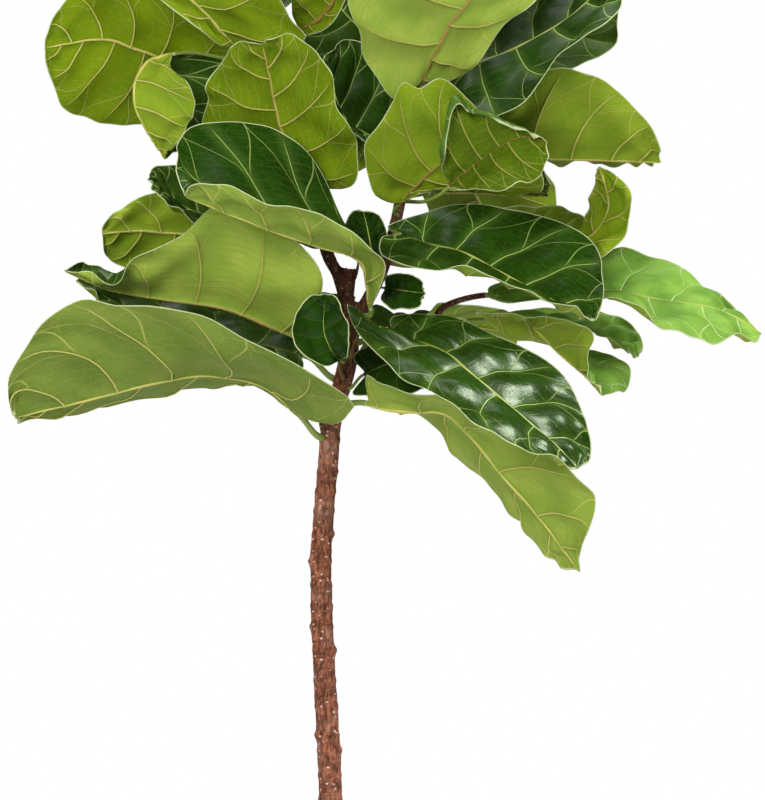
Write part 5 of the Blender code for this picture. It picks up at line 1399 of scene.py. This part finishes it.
class FIG_OT_wood(bpy.types.Operator):
    """Adds the trunk, its two branches and its twig as one barked body"""
    bl_idname = "fig.wood"
    bl_label = "Wood"
    voxel = 0.0018
    rings = 160
    columns = 48
    softening = 6

    def execute(self, context):
        wood = bpy.data.meshes.new("wood")
        joined = bmesh.new()
        share = np.linspace(0.0, 1.0, self.rings)
        for name, points in WOOD_POINTS.items():
            start, end = WOOD_RADII[name]
            shape = tube(smooth_curve(points, share), start + (end - start) * share, self.columns)
            shape.to_mesh(wood)
            shape.free()
            joined.from_mesh(wood)
        joined.to_mesh(wood)
        joined.free()
        raw = bpy.data.objects.new("raw_wood", wood)
        context.scene.collection.objects.link(raw)
        remesh = raw.modifiers.new("join", "REMESH")
        remesh.mode = "VOXEL"
        remesh.voxel_size = self.voxel
        soften = raw.modifiers.new("soften", "SMOOTH")
        soften.iterations = self.softening
        context.view_layer.update()
        ready = bpy.data.meshes.new_from_object(raw.evaluated_get(context.evaluated_depsgraph_get()))
        bpy.data.objects.remove(raw)
        bpy.data.meshes.remove(wood)
        shape = bmesh.new()
        shape.from_mesh(ready)
        bpy.data.meshes.remove(ready)
        shape.normal_update()
        for vert, way in [(vert, vert.normal.copy()) for vert in shape.verts]:
            vert.co += way * bark_relief(vert.co)
        made = piece("trunk_bark", shape, ("bark_weathered",))
        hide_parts("trunk")
        return {"FINISHED"}


class FIG_OT_buds(bpy.types.Operator):
    """Adds the two end buds, each wrapped in its dry sheath"""
    bl_idname = "fig.buds"
    bl_label = "Buds"
    rings = 60
    columns = 40
    tip_radius = 0.0004
    fit = 0.98
    wrap = 0.14

    def execute(self, context):
        for name, wood in (("bud_left", "left"), ("bud_right", "right")):
            line = smooth_curve(WOOD_POINTS[wood], (0.97, 1.0))
            along = unit(line[1] - line[0])
            share = np.linspace(0.0, 1.0, self.rings)
            points = line[1] + along * (share[:, None] * (BUD_LENGTH - self.tip_radius))
            taper = np.sqrt(np.clip(1 - share**1.6, 0.0, 1))
            radii = BUD_RADIUS * self.fit * taper * (0.86 + 0.14 * ease(share, 0, 0.25))
            shape = tube(points, np.maximum(radii, self.tip_radius), self.columns)
            axis = Vector(along)
            base = Vector(line[1])
            for vert in shape.verts:
                rise = (vert.co - base).dot(axis)
                spoke = vert.co - base - axis * rise
                turn = math.atan2(spoke.y, spoke.x)
                fold = (turn / (2 * math.pi) + rise / BUD_LENGTH * 1.3) % 1.0
                vert.co -= spoke * self.wrap * (1 - fold)
            made = piece(f"{name}_sheath", shape, ("bud_sheath",))
            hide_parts(name)
        return {"FINISHED"}


class FIG_OT_sheaths(bpy.types.Operator):
    """Adds the dry sheaths at the feet of the upper leaves and the rests of fallen stalks"""
    bl_idname = "fig.sheaths"
    bl_label = "Dry sheaths"
    rings = 28
    columns = 24

    def execute(self, context):
        for name, rest in REMAINS.items():
            self.rest(name, *rest)
        for leaf in all_leaves():
            if leaf.height > SCALE_HEIGHT:
                along, out, foot = foot_at(leaf, SCALE_SINK)
                foot = foot + along * SCALE_SINK
                tip = foot + along * SCALE_LENGTH + out * SCALE_LEAN
                self.rest(f"{leaf.name}_scale", "bud_sheath", *SCALE_RADII,
                          (foot, 0.5 * (foot + tip) + out * SCALE_BULGE, tip))
        return {"FINISHED"}

    def rest(self, name, finish_name, start, end, points):
        """One curled, pointed rest, a little flattened."""
        share = np.linspace(0.0, 1.0, self.rings)
        line = smooth_curve(points, share)
        radii = (start + (end - start) * share) * (0.8 + 0.35 * np.sin(math.pi * share))
        shape = tube(line, radii, self.columns)
        ahead = unit(np.array(points[-1], float) - np.array(points[0], float))
        side = Vector(unit(np.cross(ahead, [0.3, 1.0, 0.2])))
        middle = Vector(line[self.rings // 2])
        for vert in shape.verts:
            away = (vert.co - middle).dot(side)
            vert.co -= side * away * (1 - REST_FLATNESS)
            vert.co += vert.co.normalized() * CRUMPLE * noise.noise(vert.co * CRUMPLE_PACE)
        piece(name, shape, (finish_name,))


class FIG_OT_soil(bpy.types.Operator):
    """Adds crumbly soil with bark mulch on top"""
    bl_idname = "fig.soil"
    bl_label = "Soil"
    rings = 60
    spokes = 180
    gap = 0.0004
    sunk = 0.03
    chips = 260
    chip_size = (0.0035, 0.0085)
    chip_width = (0.45, 0.8)
    chip_height = (0.22, 0.4)
    chip_tilt = (-0.3, 0.3)
    bare = (0.024, 0.012)

    def execute(self, context):
        low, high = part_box("soil")
        wall = min(high[0], -low[0]) - self.gap
        slope = (POT_TOP_RADIUS - POT_BASE_RADIUS) / (POT_HEIGHT - POT_RIM_ROUND - POT_FLOOR)
        base = wall - slope * (SOIL_LEVEL - low[2])
        inner = WOOD_RADII["trunk"][0] - 0.002
        profile = [(0.0, low[2] + 0.0005), (base, low[2] + 0.0005), (wall, SOIL_LEVEL - 0.001)]
        profile += [(wall + (inner - wall) * k / self.rings, SOIL_LEVEL) for k in range(1, self.rings + 1)]
        profile += [(inner, SOIL_LEVEL - self.sunk), (0.0, SOIL_LEVEL - self.sunk)]
        shape = grid_piece(len(profile), self.spokes + 1)
        for index, vert in enumerate(shape.verts):
            row, column = divmod(index, self.spokes + 1)
            radius, height = profile[row]
            turn = 2 * math.pi * column / self.spokes
            x, y = radius * math.cos(turn), radius * math.sin(turn)
            if 2 < row < len(profile) - 2:
                height += self.bumps(x, y)
            vert.co = (x, y, height)
        bmesh.ops.remove_doubles(shape, verts=shape.verts, dist=1e-6)
        bmesh.ops.recalc_face_normals(shape, faces=shape.faces)
        made = piece("soil_bed", shape, ("soil_crumbs",))
        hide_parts("soil")
        self.mulch(wall)
        return {"FINISHED"}

    def bumps(self, x, y):
        """How far lumps raise or lower the soil."""
        return sum(height * noise.noise(Vector((x * pace, y * pace, layer)))
                   for height, pace, layer in SOIL_LUMPS)

    def mulch(self, wall):
        """Bark chips strewn over the soil."""
        draw = np.random.default_rng(7)
        shape = bmesh.new()
        for _ in range(self.chips):
            radius = math.sqrt(draw.uniform(self.bare[0]**2, (wall - self.bare[1])**2))
            turn = draw.uniform(0, 2 * math.pi)
            x, y = radius * math.cos(turn), radius * math.sin(turn)
            size = draw.uniform(*self.chip_size)
            chip = bmesh.ops.create_icosphere(shape, subdivisions=1, radius=size)["verts"]
            flat = (1.0, draw.uniform(*self.chip_width), draw.uniform(*self.chip_height))
            bmesh.ops.scale(shape, verts=chip, vec=flat)
            for vert in chip:
                vert.co *= 1 + 0.25 * noise.noise(vert.co * 180 + Vector((x, y, turn)) * 90)
            lean = Vector((draw.uniform(*self.chip_tilt), draw.uniform(*self.chip_tilt), 1.0))
            tilt = lean.to_track_quat("Z", "Y")
            spin = Vector((math.cos(turn * 5), math.sin(turn * 5), 0.0)).to_track_quat("X", "Z")
            for vert in chip:
                vert.co = tilt @ (spin @ vert.co)
            bmesh.ops.translate(shape, verts=chip, vec=(x, y, SOIL_LEVEL + self.bumps(x, y) + 0.0012))
        piece("soil_mulch", shape, ("bark_mulch",))


class FIG_OT_pot(bpy.types.Operator):
    """Glazes the pot"""
    bl_idname = "fig.pot"
    bl_label = "Pot"

    def execute(self, context):
        for place in frame["nodes"]["pot"].material_slots:
            place.material = material("stoneware_glaze")
        return {"FINISHED"}


class FIG_PT_panel(bpy.types.Panel):
    """Lists the pieces of the plant, with their settings"""
    bl_idname = "FIG_PT_panel"
    bl_label = "Fiddle leaf fig"
    bl_space_type = "VIEW_3D"
    bl_region_type = "UI"
    bl_category = "Fig"

    def draw(self, context):
        for step_class in STEPS:
            self.layout.operator(step_class.bl_idname)
        for settings in (context.scene.fig_finish, context.scene.fig_stage):
            box = self.layout.box()
            for name in settings.bl_rna.properties.keys():
                if name not in ("rna_type", "name"):
                    box.prop(settings, name)


STEPS = (FIG_OT_pot, FIG_OT_soil, FIG_OT_wood, FIG_OT_buds, FIG_OT_leaves, FIG_OT_sheaths, FIG_OT_stage)
CLASSES = (FigFinish, FigStage, *STEPS, FIG_PT_panel)


def register():
    """Adds the classes and their settings."""
    for made in CLASSES:
        bpy.utils.register_class(made)
    bpy.types.Scene.fig_finish = PointerProperty(type=FigFinish)
    bpy.types.Scene.fig_stage = PointerProperty(type=FigStage)


def unregister():
    """Removes the classes and their settings."""
    del bpy.types.Scene.fig_stage
    del bpy.types.Scene.fig_finish
    for made in reversed(CLASSES):
        bpy.utils.unregister_class(made)


def main():
    """Makes every piece in order."""
    register()
    for step_class in STEPS:
        family, verb = step_class.bl_idname.split(".")
        getattr(getattr(bpy.ops, family), verb)()


if __name__ == "__main__":
    main()
